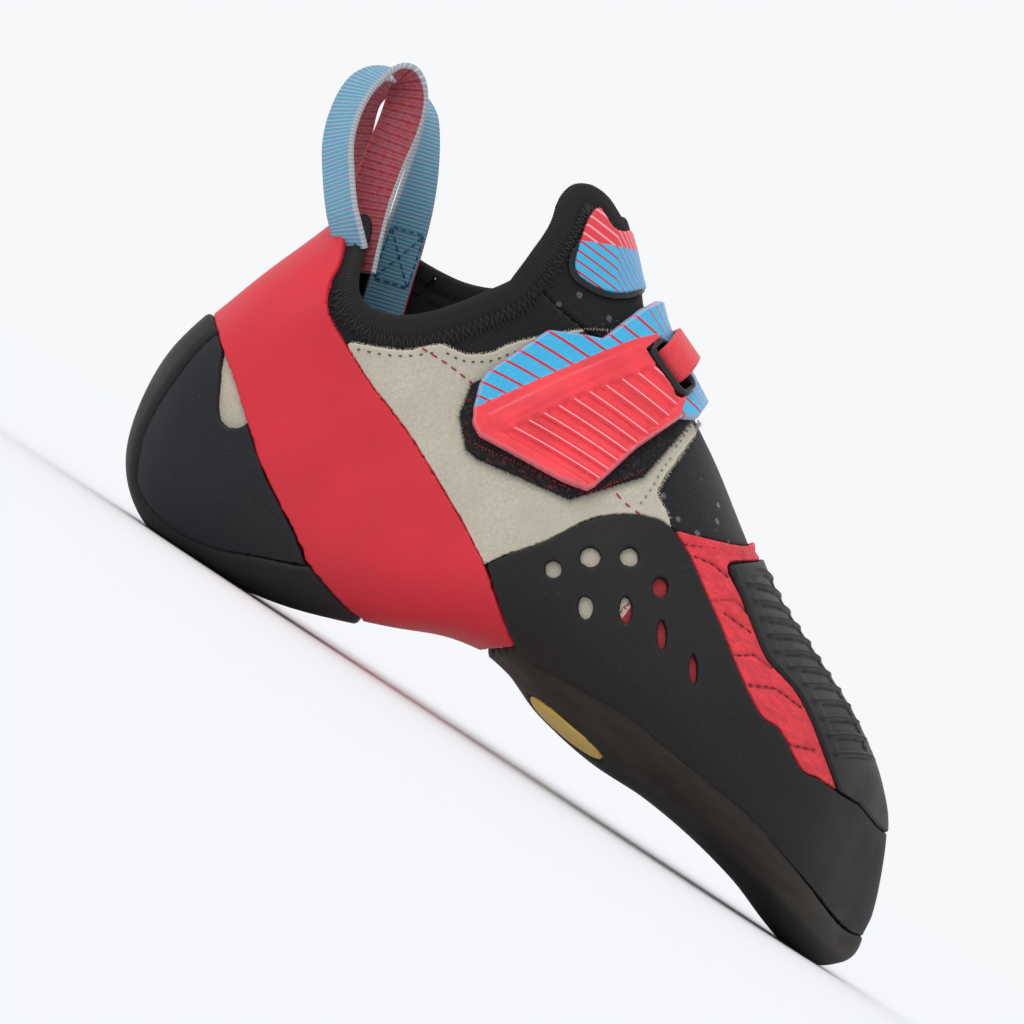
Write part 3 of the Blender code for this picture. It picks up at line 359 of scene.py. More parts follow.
# Tucks pressed into the microfibre.
VAMP_TUCKS = [
    [(60.0, 52.0), (62.0, 52.6), (64.0, 52.3)], [(63.9, 46.5), (66.2, 49.3), (68.0, 48.6)],
    [(66.0, 46.0), (69.5, 45.8)], [(68.9, 40.0), (71.0, 42.5), (73.5, 42.4)],
    [(72.3, 37.0), (75.0, 39.5), (78.6, 39.4)], [(79.3, 31.8), (82.4, 34.0)],
]
# Slanting lines of the strap and the print, seen from the side with the shoe tipped on its toe
# by LINE_TILT degrees: where they start, the steps from line to line to the right and down in
# metres, and how steeply each one falls at its start and bends from there.
LINE_TILT = 33.0
LINE_START = (32.3, 55.1)
LINE_STEP = (0.00414, -0.00191)
LINE_SLOPE = 0.461
LINE_BEND = 7.8
# Across the top of the foot these lines count on: from how far to the lateral side, and how fast.
CREST_SLOPE = 0.9
CREST_START = 0.012
# Outline of the print on the tongue as it shows, and the line where its two colours meet.
PRINT_SHOWN = [
    (31.0, 98.6), (33.0, 98.9), (35.6, 97.4), (37.6, 95.0), (39.4, 92.6), (39.8, 90.6),
    (38.3, 87.4), (36.6, 85.4), (34.5, 84.5), (32.3, 84.9), (31.2, 88.6), (30.3, 95.6),
    (31.0, 98.6),
]
PRINT_CHANGE = [(29.0, 88.3), (41.0, 99.4)]

Sewing = namedtuple("Sewing", "name thread colour slot length pitch thick lines")
# Rows of stitches in the leathers. Length, pitch and thickness of a stitch are in millimetres.
# A row without a colour takes the red thread's.
SEWING = [
    Sewing("red_seam", "red_thread", None, "suede", 1.9, 2.2, 0.5, [
        [(23.4, 56.4), (26.5, 56.5), (29.6, 56.1)], [(48.2, 54.2), (50.4, 52.9), (53.6, 52.6)],
    ]),
    Sewing("dark_stitches", "dark_thread", (72, 70, 66), "suede", 0.9, 2.1, 0.5, [
        [(25.7, 58.2), (27.7, 58.8), (30.0, 61.6), (31.4, 65.0), (34.3, 71.4), (36.6, 76.0),
         (38.6, 80.8), (41.4, 84.6)],
        [(17.5, 49.6), (20.0, 51.4), (22.2, 53.6), (24.2, 56.6)],
    ]),
    Sewing("grey_stitches", "grey_thread", (150, 149, 146), "suede", 1.0, 1.9, 0.6, [
        [(52.0, 64.8), (51.9, 61.9), (52.0, 59.5), (52.0, 57.0), (51.9, 54.6)],
        [(52.0, 73.4), (52.0, 70.6), (51.9, 67.6)],
    ]),
    Sewing("toe_stitches", "deep_red_thread", (96, 12, 22), "microfibre", 1.5, 2.0, 0.32, [
        [(57.6, 52.0), (60.2, 54.3), (63.2, 57.0), (64.3, 59.8)],
        [(60.0, 51.8), (62.0, 52.4), (64.0, 52.1)], [(66.0, 45.9), (69.3, 45.7)],
        [(68.9, 40.0), (71.0, 42.4)], [(72.4, 37.4), (75.0, 39.4), (78.4, 39.2)],
        [(79.5, 32.2), (82.2, 33.8)],
    ]),
]
# Torn front edge of the suede, and the lines of red threads in the hook pad.
TORN_EDGE = [(55.2, 55.3), (53.0, 57.7), (52.6, 60.6), (52.8, 69.1), (52.7, 74.7)]
PAD_THREADS = [
    [(33.6, 46.8), (39.0, 48.2), (44.6, 49.4)], [(46.6, 50.8), (48.2, 54.6), (50.0, 59.6)],
]
# Half the side of the floor, in metres.
FLOOR_REACH = 60.0
Light = namedtuple("Light", "name place strength spread")
LIGHTS = [
    Light("key", (-0.9, -1.0, 1.3), 1.15, 38),
    Light("fill", (0.7, -1.3, 1.3), 0.25, 90),
]
# Strength of the backdrop, which rises from 0.45 to 0.98 between these two directions.
BACKDROP = (-0.6, 0.3, 0.45, 0.98)
# Where the camera looks, from where, how far it is rolled and how wide its view is there. It
# stays above the floor.
CAMERA_AIM = (-0.0215, 0.0, 0.0538)
CAMERA_ELEVATION = -1.6
CAMERA_AZIMUTH = 0.0
CAMERA_ROLL = 33.26
CAMERA_DISTANCE = 1.15
VIEW_WIDTH = 0.260
SENSOR_WIDTH = 36
CAMERA_REACH = 200


# The last

def station_columns(u):
    """Every column of STATIONS at the shares u, along a smooth curve through the rows."""
    table = np.array(STATIONS)
    last_row = len(table) - 1
    place = np.clip(np.asarray(u, float), 0, 1) * last_row
    first = np.clip(np.floor(place).astype(int), 0, last_row - 1)
    t = (place - first)[..., None]
    before, start = table[np.maximum(first - 1, 0)], table[first]
    end, after = table[first + 1], table[np.minimum(first + 2, last_row)]
    leave, arrive = (end - before) / 2, (after - start) / 2
    curve = (
        (2 * t**3 - 3 * t**2 + 1) * start
        + (t**3 - 2 * t**2 + t) * leave
        + (3 * t**2 - 2 * t**3) * end
        + (t**3 - t**2) * arrive
    )
    return Station(*np.moveaxis(curve, -1, 0))


def section_points(u, angle):
    """Points of the last's outer skin. angle is in degrees: 0 underneath, +90 medial."""
    at = station_columns(u)
    turn = np.radians(angle)
    across, down = np.sin(turn), np.cos(turn)
    full = np.where(down > 0, at.low, at.high)
    radius = (np.abs(across) ** full + np.abs(down) ** full) ** (-1 / full)
    half = np.where(across < 0, at.lateral, at.medial) * BALL_WIDTH / 100
    above = np.where(down > 0, at.widest, 1 - at.widest)
    rise = at.widest - above * radius * down
    foot = np.stack([at.foot_x * LENGTH, at.foot_y * BALL_WIDTH, at.foot_z * HEIGHT], -1) / 100
    top = np.stack([at.top_x * LENGTH, at.top_y * BALL_WIDTH, at.top_z * HEIGHT], -1) / 100
    under = at.strip * STRIP_THICK + at.sole * SOLE_THICK + GAP
    way = (top - foot) * [1, 0, 1]
    foot = foot + unit(way) * under[..., None]
    point = foot + (top - foot) * rise[..., None]
    point[..., 1] += half * radius * across
    inner_edge = 0.75 * at.medial * BALL_WIDTH / 100
    point[..., 2] += at.cant * (inner_edge - half * radius * across) * (1 - rise) ** 2
    return point


def skin_normals(u, angle):
    step_u, step_angle = 0.002, 1.0
    inside = np.clip(u, step_u, 1 - 2 * step_u)
    along = section_points(inside + step_u, angle) - section_points(inside - step_u, angle)
    around = section_points(inside, angle + step_angle) - section_points(inside, angle - step_angle)
    return unit(np.cross(around, along))


def last_surface(u, angle, offset=0.0):
    """Points this far outside the last's skin. Past u = 1 the toe's tip is rounded over."""
    u, angle, offset = np.broadcast_arrays(np.asarray(u, float), angle, offset)
    out = skin_normals(u, angle)
    turn = np.clip((u - 1) / TIP_SPAN, 0, 1) * math.pi / 2
    ahead = np.array([0.995, 0.0, -0.1])
    out = out * np.cos(turn)[..., None] + ahead * np.sin(turn)[..., None]
    return section_points(np.minimum(u, 1), angle) + out * offset[..., None]


# Outlines

def smooth_path(points, count):
    """Points at even shares along a smooth curve through the given ones."""
    p = np.array(points, float)
    ends = np.vstack([2 * p[0] - p[1], p, 2 * p[-1] - p[-2]])
    made = []
    for place in np.linspace(0, len(p) - 1, count):
        i = min(int(place), len(p) - 2)
        t = place - i
        a, b, c, d = ends[i : i + 4]
        square, cube = 2 * a - 5 * b + 4 * c - d, 3 * b - a - 3 * c + d
        made.append(0.5 * (2 * b + (c - a) * t + square * t**2 + cube * t**3))
    return np.array(made)


def outline(*runs):
    """A closed outline in metres: each run of three points or more is a smooth curve."""
    made = []
    for run in runs:
        line = smooth_path(run, 5 * len(run)) if len(run) > 2 else np.array(run, float)
        made.extend(line)
    return np.array(made) * SIDE_PERCENT


def corners(points):
    """Runs of one point each, for the straight parts of an outline."""
    return [[point] for point in points]


def polygon(points):
    """A straight-sided outline, or an open line, in metres."""
    return np.array(points, float) * SIDE_PERCENT


def side_view(p):
    """Where each point is seen from the side."""
    return p[..., 0], p[..., 2]


def run_along(points):
    """Distance covered along a line at each of its points."""
    return np.concatenate([[0], np.cumsum(np.linalg.norm(np.diff(points, axis=0), axis=1))])


def unit(vectors):
    return vectors / np.linalg.norm(vectors, axis=-1, keepdims=True)


def outline_distance(shape, x, z):
    """Signed distance from a closed outline seen from the side, positive inside it."""
    a, b = shape, np.roll(shape, -1, axis=0)
    side = b - a
    square = np.maximum((side**2).sum(1), 1e-12)
    flat_x, flat_z = np.ravel(x), np.ravel(z)
    made = np.empty(len(flat_x))
    for start in range(0, len(flat_x), 20000):
        qx, qz = flat_x[start : start + 20000, None], flat_z[start : start + 20000, None]
        px, pz = qx - a[:, 0], qz - a[:, 1]
        share = np.clip((px * side[:, 0] + pz * side[:, 1]) / square, 0, 1)
        far = np.hypot(px - share * side[:, 0], pz - share * side[:, 1]).min(1)
        spans = (a[:, 1] > qz) != (b[:, 1] > qz)
        slope = side[:, 0] / np.where(side[:, 1] == 0, 1e-12, side[:, 1])
        crossings = (spans & (px < slope * pz)).sum(1)
        made[start : start + 20000] = np.where(crossings % 2 == 1, far, -far)
    return made.reshape(np.shape(x))


def line_distance(line, x, z):
    """Distance from an open line seen from the side."""
    far = np.full(np.shape(x), np.inf)
    for a, b in zip(line, line[1:]):
        side = b - a
        share = ((x - a[0]) * side[0] + (z - a[1]) * side[1]) / max((side**2).sum(), 1e-12)
        share = np.clip(share, 0, 1)
        far = np.minimum(far, np.hypot(x - a[0] - share * side[0], z - a[1] - share * side[1]))
    return far


def blended_distance(p, lateral, medial):
    """Signed distance from two outlines, one of each side, blended across the shoe."""
    x, z = side_view(p)
    share = np.clip(p[..., 1] / (SIDE_BLEND * BALL_WIDTH) + 0.5, 0, 1)
    near = outline_distance(lateral, x, z)
    return near * (1 - share) + outline_distance(medial, x, z) * share


# Panels over the last

def even_steps(points, low, high, step):
    """Shares between low and high that lie about a step apart along a line of points."""
    shares = np.linspace(low, high, len(points))
    run = run_along(points)
    count = max(int(run[-1] / step) + 1, 3)
    return np.interp(np.linspace(0, run[-1], count), run, shares)


def split_at(places, depth, triangles, level):
    """Cuts triangles along the line where depth has this value. Nothing is dropped."""
    above = depth - level
    above = np.where(np.abs(above) < 1e-9, 1e-9, above)
    up = above > 0
    ups = up[triangles].sum(1)
    mixed = (ups == 1) | (ups == 2)
    whole, cut = triangles[~mixed], triangles[mixed]
    if len(cut) == 0:
        return places, depth, triangles
    odd = np.where(ups[mixed] == 1, 1, 0)[:, None]
    alone = (up[cut].astype(int) == odd).argmax(1)
    rows = np.arange(len(cut))
    p, q, r = cut[rows, alone], cut[rows, (alone + 1) % 3], cut[rows, (alone + 2) % 3]
    pairs = np.sort(np.concatenate([np.stack([p, q], 1), np.stack([p, r], 1)]), axis=1)
    unique, which = np.unique(pairs, axis=0, return_inverse=True)
    which = which.reshape(-1)
    one, two = unique[:, 0], unique[:, 1]
    share = (above[one] / (above[one] - above[two]))[:, None]
    fresh = places[one] * (1 - share) + places[two] * share
    m = len(places) + which[: len(cut)]
    n = len(places) + which[len(cut) :]
    made = np.concatenate([
        whole, np.stack([p, m, n], 1), np.stack([m, q, r], 1), np.stack([m, r, n], 1),
    ])
    depth = np.concatenate([depth, np.full(len(fresh), level)])
    return np.concatenate([places, fresh]), depth, made


def span_of(values, keep, full):
    """The part of a coarse grid's axis that holds anything, with a margin."""
    found = np.flatnonzero(keep)
    if len(found) == 0:
        return full
    low, high = max(found[0] - 2, 0), min(found[-1] + 2, len(values) - 1)
    return values[low], values[high]


def rounded(depth, radius, start=0.35):
    """How much of its thickness a panel has, this far in from its edge."""
    share = np.clip(depth / radius, 0, 1)
    return start + (1 - start) * np.sqrt(1 - (1 - share) ** 2)


def panel(name, inside, base, thick, relief=None, fields=None, reach=None):
    """A closed sheet over the last, wherever inside() is positive.

    relief gives the height to add at each point, and fields gives values to keep with them.
    """
    step, soft_edge = GRIDS[name].step * MM, GRIDS[name].edge * MM
    middle = base + thick / 2
    reach = reach or (0.0, 1 + TIP_SPAN, -270.0, 90.0)
    coarse_u = np.linspace(reach[0], reach[1], 140)
    coarse_angle = np.linspace(reach[2], reach[3], 121)
    u, angle = np.meshgrid(coarse_u, coarse_angle, indexing="ij")
    keep = inside(last_surface(u, angle, middle), u, angle) > -3 * MM
    low_u, high_u = span_of(coarse_u, keep.any(1), reach[:2])
    low_angle, high_angle = span_of(coarse_angle, keep.any(0), reach[2:])
    spread = np.linspace(low_u, high_u, 400)
    lines = [last_surface(spread, a, middle) for a in np.linspace(low_angle, high_angle, 5)]
    steps = [even_steps(line, low_u, high_u, step) for line in lines]
    longest = max(steps, key=len)
    ring_angles = np.linspace(low_angle, high_angle, 400)
    rings = [last_surface(v, ring_angles, middle) for v in np.linspace(low_u, min(high_u, 0.9), 5)]
    turns = max((even_steps(ring, low_angle, high_angle, step) for ring in rings), key=len)
    u, angle = np.meshgrid(longest, turns, indexing="ij")
    places = np.stack([u.ravel(), angle.ravel()], 1)
    rows, columns = u.shape
    i, j = np.meshgrid(np.arange(rows - 1), np.arange(columns - 1), indexing="ij")
    a, b, c, d = (v.ravel() for v in (
        i * columns + j, i * columns + j + 1, (i + 1) * columns + j + 1, (i + 1) * columns + j,
    ))
    triangles = np.concatenate([np.stack([a, b, c], 1), np.stack([a, c, d], 1)])
    if high_angle - low_angle > 359:
        places = np.concatenate([places, [[longest[-1], 0.0]]])
        ring = (rows - 1) * columns + np.arange(columns)
        cap = np.stack([ring[:-1], ring[1:], np.full(columns - 1, len(places) - 1)], 1)
        triangles = np.concatenate([triangles, cap])
    depth = inside(last_surface(places[:, 0], places[:, 1], middle), places[:, 0], places[:, 1])
    depth = np.where(np.abs(depth) < NEAR_EDGE * step, 0.0, depth)
    places, depth, triangles = split_at(places, depth, triangles, 0.0)
    triangles = triangles[(depth[triangles] >= 0).all(1)]
    for share in (0.25, 1.0):
        places, depth, triangles = split_at(places, depth, triangles, share * soft_edge)
    triangles = triangles[(depth[triangles] >= 0).all(1)]
    keys = np.round(np.stack([places[:, 0] * 1e4, places[:, 1] % 360 * 10], 1), 3)
    _, first, which = np.unique(keys, axis=0, return_index=True, return_inverse=True)
    triangles = first[which.reshape(-1)][triangles]
    one, two, three = triangles.T
    triangles = triangles[(one != two) & (two != three) & (three != one)]
    used, triangles = np.unique(triangles, return_inverse=True)
    triangles = triangles.reshape(-1, 3)
    places, depth = places[used], depth[used]
    return close_sheet(name, places, depth, triangles, base, thick, soft_edge, relief, fields)


def close_sheet(name, places, depth, triangles, base, thick, soft_edge, relief, fields):
    """Gives a sheet its outer face, its inner face and the edge between them."""
    u, angle = places.T
    at = last_surface(u, angle, base + thick)
    height = thick * rounded(depth, soft_edge)
    if relief is not None:
        height = np.maximum(height + relief(at, u, angle, depth), 0.1 * thick)
    outer = last_surface(u, angle, base + height)
    inner = last_surface(u, angle, base)
    count = len(places)
    sides = np.concatenate([triangles[:, [0, 1]], triangles[:, [1, 2]], triangles[:, [2, 0]]])
    keys = sides[:, 0].astype(np.int64) * count + sides[:, 1]
    back = sides[:, 1].astype(np.int64) * count + sides[:, 0]
    edge = sides[~np.isin(keys, back)]
    one, two = edge[:, 0], edge[:, 1]
    walls = np.concatenate([
        np.stack([two, one, one + count], 1), np.stack([two, one + count, two + count], 1),
    ])
    faces = np.concatenate([triangles, triangles[:, ::-1] + count, walls])
    points = np.concatenate([outer, inner]) + MIDDLE
    values = {"edge": np.concatenate([depth, np.zeros(count)])}
    for key, found in (fields(at, u, angle, depth) if fields else {}).items():
        values[key] = np.concatenate([found, found])
    return solid(name, points, faces, values)


def solid(name, points, faces, values=None, turn_out=False):
    """A mesh object in the frame, with float values kept on its points."""
    mesh = bpy.data.meshes.new(name)
    mesh.from_pydata(np.asarray(points).tolist(), [], [tuple(face) for face in faces])
    for key, found in (values or {}).items():
        layer = mesh.attributes.new(key, "FLOAT", "POINT")
        layer.data.foreach_set("value", np.asarray(found, np.float32).ravel())
    if turn_out:
        shape = bmesh.new()
        shape.from_mesh(mesh)
        bmesh.ops.recalc_face_normals(shape, faces=shape.faces)
        shape.to_mesh(mesh)
        shape.free()
    mesh.update()
    mesh.shade_smooth()
    mesh.set_sharp_from_angle(angle=math.radians(50))
    made = bpy.data.objects.new(name, mesh)
    bpy.context.scene.collection.objects.link(made)
    return made


def place_on_side(line, offset):
    """Places on the last, u and angle, of a line seen from the lateral side, in percent."""
    step_u, step_angle = 0.001, 0.5
    u, angle = np.meshgrid(np.linspace(0, 1, 260), -np.linspace(0, 180, 200), indexing="ij")
    grid = last_surface(u, angle, offset)
    made = []
    for x, z in np.array(line) * SIDE_PERCENT:
        away = (grid[..., 0] - x) ** 2 + (grid[..., 2] - z) ** 2
        i, j = np.unravel_index(np.argmin(away), away.shape)
        place = np.array([u[i, j], angle[i, j]])
        for _ in range(4):
            here = last_surface(*place, offset)
            ahead = last_surface(place[0] + step_u, place[1], offset) - here
            round_it = last_surface(place[0], place[1] + step_angle, offset) - here
            slopes = np.array([ahead[[0, 2]] / step_u, round_it[[0, 2]] / step_angle]).T
            miss = np.array([x, z]) - here[[0, 2]]
            move = np.linalg.lstsq(slopes, miss, rcond=1e-3)[0]
            place = place + np.clip(move, [-0.01, -3], [0.01, 3])
        made.append(place)
    return np.array(made)


def line_on_side(line, offset, spacing):
    """Points and outward directions along a line seen from the lateral side, in percent."""
    fine = smooth_path(line, 4 * len(line)) if len(line) > 2 else smooth_path(line, 8)
    places = place_on_side(fine, offset)
    points = last_surface(places[:, 0], places[:, 1], offset)
    run = run_along(points)
    stops = np.linspace(0, run[-1], max(int(run[-1] / spacing), 4))
    u, angle = np.interp(stops, run, places[:, 0]), np.interp(stops, run, places[:, 1])
    return last_surface(u, angle, offset) + MIDDLE, skin_normals(u, angle)


# Finishes

class Finish:
    """A material in the making: its nodes and its Principled surface."""

    def __init__(self, name, colour, roughness, **sockets):
        self.material = bpy.data.materials.new(name)
        self.material.use_nodes = True
        self.tree = self.material.node_tree
        self.surface = self.tree.nodes["Principled BSDF"]
        self.set(self.surface, {"Base Color": (*colour, 1), "Roughness": roughness, **sockets})

    def set(self, made, values):
        for key, value in values.items():
            socket = made.inputs[key]
            if isinstance(value, bpy.types.NodeSocket):
                self.tree.links.new(value, socket)
            else:
                socket.default_value = value
        return made

    def make(self, kind, values=None, **settings):
        made = self.tree.nodes.new("ShaderNode" + kind)
        for key, value in settings.items():
            setattr(made, key, value)
        return self.set(made, values or {})

    def place(self):
        return self.make("TexCoord").outputs["Object"]

    def kept(self, name):
        return self.make("Attribute", attribute_name=name).outputs["Fac"]

    def math(self, operation, one, two=0.0, three=0.0):
        made = self.make("Math", operation=operation)
        return self.set(made, dict(enumerate((one, two, three)))).outputs[0]

    def smooth(self, value, low, high, start=0.0, end=1.0):
        values = {0: value, 1: low, 2: high, 3: start, 4: end}
        made = self.make("MapRange", values, interpolation_type="SMOOTHSTEP")
        return made.outputs[0]

    def noise(self, scale, detail=3.0, rough=0.5, at=None, output="Fac"):
        values = {"Scale": scale, "Detail": detail, "Roughness": rough}
        values["Vector"] = at or self.place()
        return self.make("TexNoise", values).outputs[output]

    def cells(self, scale, feature="F1", at=None, output="Distance"):
        values = {"Scale": scale, "Vector": at or self.place()}
        return self.make("TexVoronoi", values, feature=feature).outputs[output]

    def mix(self, share, one, two, blend="MIX"):
        one = (*one, 1) if isinstance(one, (tuple, bpy.types.bpy_prop_array)) else one
        two = (*two, 1) if isinstance(two, (tuple, bpy.types.bpy_prop_array)) else two
        made = self.make("Mix", {0: share, 6: one, 7: two}, data_type="RGBA", blend_type=blend)
        return made.outputs[2]

    def off_whole(self, number):
        """How far a value is from the nearest whole number."""
        return self.math("ABSOLUTE", self.math("SUBTRACT", number, self.math("ROUND", number)))

    def grooves(self, spacing, low):
        """Mask for painted shade of cross grooves along the kept run, one in each spacing: 0 in a
        groove, 1 on a rib's top.
        """
        thread = self.math("FRACT", self.math("DIVIDE", self.kept("run"), spacing))
        return self.smooth(self.math("ABSOLUTE", self.math("SUBTRACT", thread, 0.5)), low, 0.5)

    def moved(self, scale, turn=(0, 0, 0)):
        return self.make(
            "Mapping", {"Vector": self.place(), "Scale": scale, "Rotation": turn}
        ).outputs[0]

    def bump(self, height, distance, strength=1.0):
        """Adds a layer of relief on those that are there, in metres."""
        values = {"Height": height, "Distance": distance, "Strength": strength}
        socket = self.surface.inputs["Normal"]
        if socket.is_linked:
            values["Normal"] = socket.links[0].from_socket
        self.set(self.surface, {"Normal": self.make("Bump", values).outputs[0]})

    def colour(self, value):
        self.set(self.surface, {"Base Color": value})

    def roughness(self, value):
        self.set(self.surface, {"Roughness": value})


def tint(colour, share):
    """A colour made darker, or lighter where share is over 1."""
    return tuple(min(float(v) * share, 1.0) for v in colour[:3])


def rubber_finish(name, colour, roughness=0.62, dusty=0.5):
    """Sanded rubber: fine scratches, dust in patches and paler edges."""
    made = Finish(name, tint(colour, 1), roughness, **{"Specular IOR Level": 0.35})
    cloud = made.noise(45, 4, 0.6)
    fine = made.noise(900, 3, 0.7)
    specks = made.smooth(made.noise(1500, 2, 0.6), 0.66, 0.80)
    shade = made.mix(made.smooth(cloud, 0.35, 0.75), tint(colour, 0.74), tint(colour, 1.42))
    shade = made.mix(made.smooth(fine, 0.4, 0.7, 0.0, 0.35), shade, tint(colour, 1.9))
    rim = made.smooth(made.kept("edge"), 0.0002, 0.0016, 0.30, 0.0)
    shade = made.mix(rim, shade, tint(colour, 2.0))
    dust = made.math("MULTIPLY", specks, dusty * 0.5)
    made.colour(made.mix(dust, shade, srgb(120, 116, 110)))
    made.roughness(made.smooth(cloud, 0.25, 0.75, roughness - 0.09, roughness + 0.10))
    made.bump(fine, 0.00006, 0.5)
    made.bump(made.noise(160, 2, 0.5), 0.00015, 0.3)
    return made


def colours():
    return bpy.context.scene.shoe_colours


def sizes():
    return bpy.context.scene.shoe_sizes


def dress(piece, finish, slot, *nodes):
    """Gives a piece its finish, hangs it under the root and hides the imported parts it stands for.
    """
    piece.data.materials.clear()
    piece.data.materials.append(finish.material)
    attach(piece, "root")
    if nodes:
        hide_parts(*nodes)
    return piece


def shape_of_band():
    below = [(33.4, -6.0), (46.5, -6.0), (46.5, 15.8)]
    return outline(
        BAND_REAR, *corners(below), BAND_FRONT[::-1][:-1],
        BAND_FRONT[:1], [(-3.0, 68.7), (-3.0, 41.5)],
    )


def shape_of_rim(which):
    line = [(rim.x, getattr(rim, which)) for rim in RIM]
    return outline(line, *corners(ABOVE_RIM))


def rim_share(x):
    """Share of the tape's width at this place along the collar."""
    return np.interp(x, [r.x * LENGTH / 100 for r in RIM[:12]], [r.tape for r in RIM[:12]])


def below_rim(p):
    """Distance below the collar's rim, along the side."""
    return -blended_distance(p, shape_of_rim("lateral_z"), shape_of_rim("medial_z"))


class PieceOperator(bpy.types.Operator):
    """Base of the shoe's operators. Each one calls its own builders in turn."""

    bl_options = {"REGISTER", "UNDO"}
    builders = ()

    def execute(self, context):
        for build in self.builders:
            build()
        return {"FINISHED"}


# Body, tongue and insole

def cloth_finish(name, dots):
    """Fine knit, with small see-through openings where dots is set."""
    c = colours()
    made = Finish(name, tint(c.cloth, 1), 0.92)
    knit = made.cells(1500, at=made.moved((1, 1, 1.6)))
    shade = made.mix(made.smooth(knit, 0.1, 0.7), tint(c.cloth, 1.5), tint(c.cloth, 0.5))
    lint = made.smooth(made.noise(2200, 2, 0.7), 0.70, 0.78, 0.0, 0.35)
    shade = made.mix(lint, shade, srgb(110, 110, 116))
    made.set(made.surface, {"Sheen Weight": 0.12, "Sheen Roughness": 0.5})
    if dots:
        turned = made.moved((1.0, 0.85, 1.0), (0, math.radians(-38), 0))
        pits = made.cells(190, at=turned)
        near = made.smooth(pits, 0.09, 0.20, 1.0, 0.0)
        flecks = made.smooth(made.noise(1400, 2, 0.6), 0.40, 0.60, 0.35, 1.0)
        speck = made.math("MULTIPLY", near, flecks)
        shade = made.mix(made.math("MULTIPLY", speck, 0.6), shade, tint(c.dot, 1))
        made.bump(pits, 0.0004, 0.25)
    made.colour(shade)
    made.bump(knit, 0.0002, 0.6)
    return made


def build_body():
    throat = outline(THROAT + THROAT[:1])

    def inside_body(p, u, angle):
        rim = below_rim(p) - UNDER_TAPE
        return np.minimum(rim, -outline_distance(throat, *side_view(p)) - SEAM)

    body = panel("upper_body", inside_body, -WALL, WALL)
    dress(body, cloth_finish("stretch_body", False), "knit", "upper")

    def inside_tongue(p, u, angle):
        rim = below_rim(p) - UNDER_TAPE
        return np.minimum(rim, outline_distance(throat, *side_view(p)) - SEAM)

    tongue = panel("tongue_front", inside_tongue, -WALL, WALL)
    dress(tongue, cloth_finish("stretch_mesh", True), "knit", "tongue")


class OBJECT_OT_shoe_body(PieceOperator):
    """Builds the stretch body and the mesh front of the shoe"""

    bl_idname = "object.shoe_body"
    bl_label = "Body and tongue"
    builders = (build_body,)


def build_insole():
    upper_side = -WALL - GAP
    low, high = INSOLE_SPAN

    def inside(p, u, angle):
        ahead = np.minimum(u - low, high - u) * LENGTH * 1.1
        around = (INSOLE_HALF_ANGLE - np.abs(angle)) * 0.6 * MM
        return np.minimum(ahead, around)

    board = panel(
        "footbed", inside, upper_side - INSOLE_THICK, INSOLE_THICK,
        reach=(low - 0.02, high + 0.02, -INSOLE_HALF_ANGLE - 4, INSOLE_HALF_ANGLE + 4),
    )
    made = Finish("footbed_cloth", srgb(52, 50, 52), 0.9)
    weave = made.cells(900)
    made.colour(made.mix(made.smooth(weave, 0.1, 0.6), srgb(66, 62, 62), srgb(34, 32, 34)))
    made.bump(weave, 0.0002, 0.5)
    dress(board, made, "board", "insole")


class OBJECT_OT_shoe_insole(PieceOperator):
    """Builds the board inside the shoe"""

    bl_idname = "object.shoe_insole"
    bl_label = "Insole"
    builders = (build_insole,)


# Suede sides and the panel over the toes

def suede_finish(name, colour, contrast=1.0):
    """Suede: mottled, with a short nap that catches light and small dark pores."""
    made = Finish(name, tint(colour, 1), 0.95)
    cloud = made.noise(60, 4, 0.6)
    nap = made.noise(1300, 4, 0.75)
    pores = made.smooth(made.noise(1900, 2, 0.6), 0.30, 0.42, 1.0, 0.0)
    dark = 1 - 0.14 * contrast
    shade = made.mix(made.smooth(cloud, 0.3, 0.7), tint(colour, dark), tint(colour, 1.06))
    shade = made.mix(made.smooth(nap, 0.3, 0.75), tint(colour, 0.80), shade)
    shade = made.mix(made.math("MULTIPLY", pores, 0.35), shade, tint(colour, 0.42))
    raw = made.smooth(made.kept("edge"), 0.0, 0.0009, 0.55, 0.0)
    made.colour(made.mix(raw, shade, tint(colour, 1.18)))
    made.set(made.surface, {"Sheen Weight": 0.25, "Sheen Roughness": 0.4})
    made.bump(nap, 0.00018, 0.7)
    made.bump(cloud, 0.0006, 0.25)
    return made


def shape_of_quarter():
    return outline(QUARTER_TOP, RAND_TOP[5::-1], BAND_FRONT[-4:5:-1])


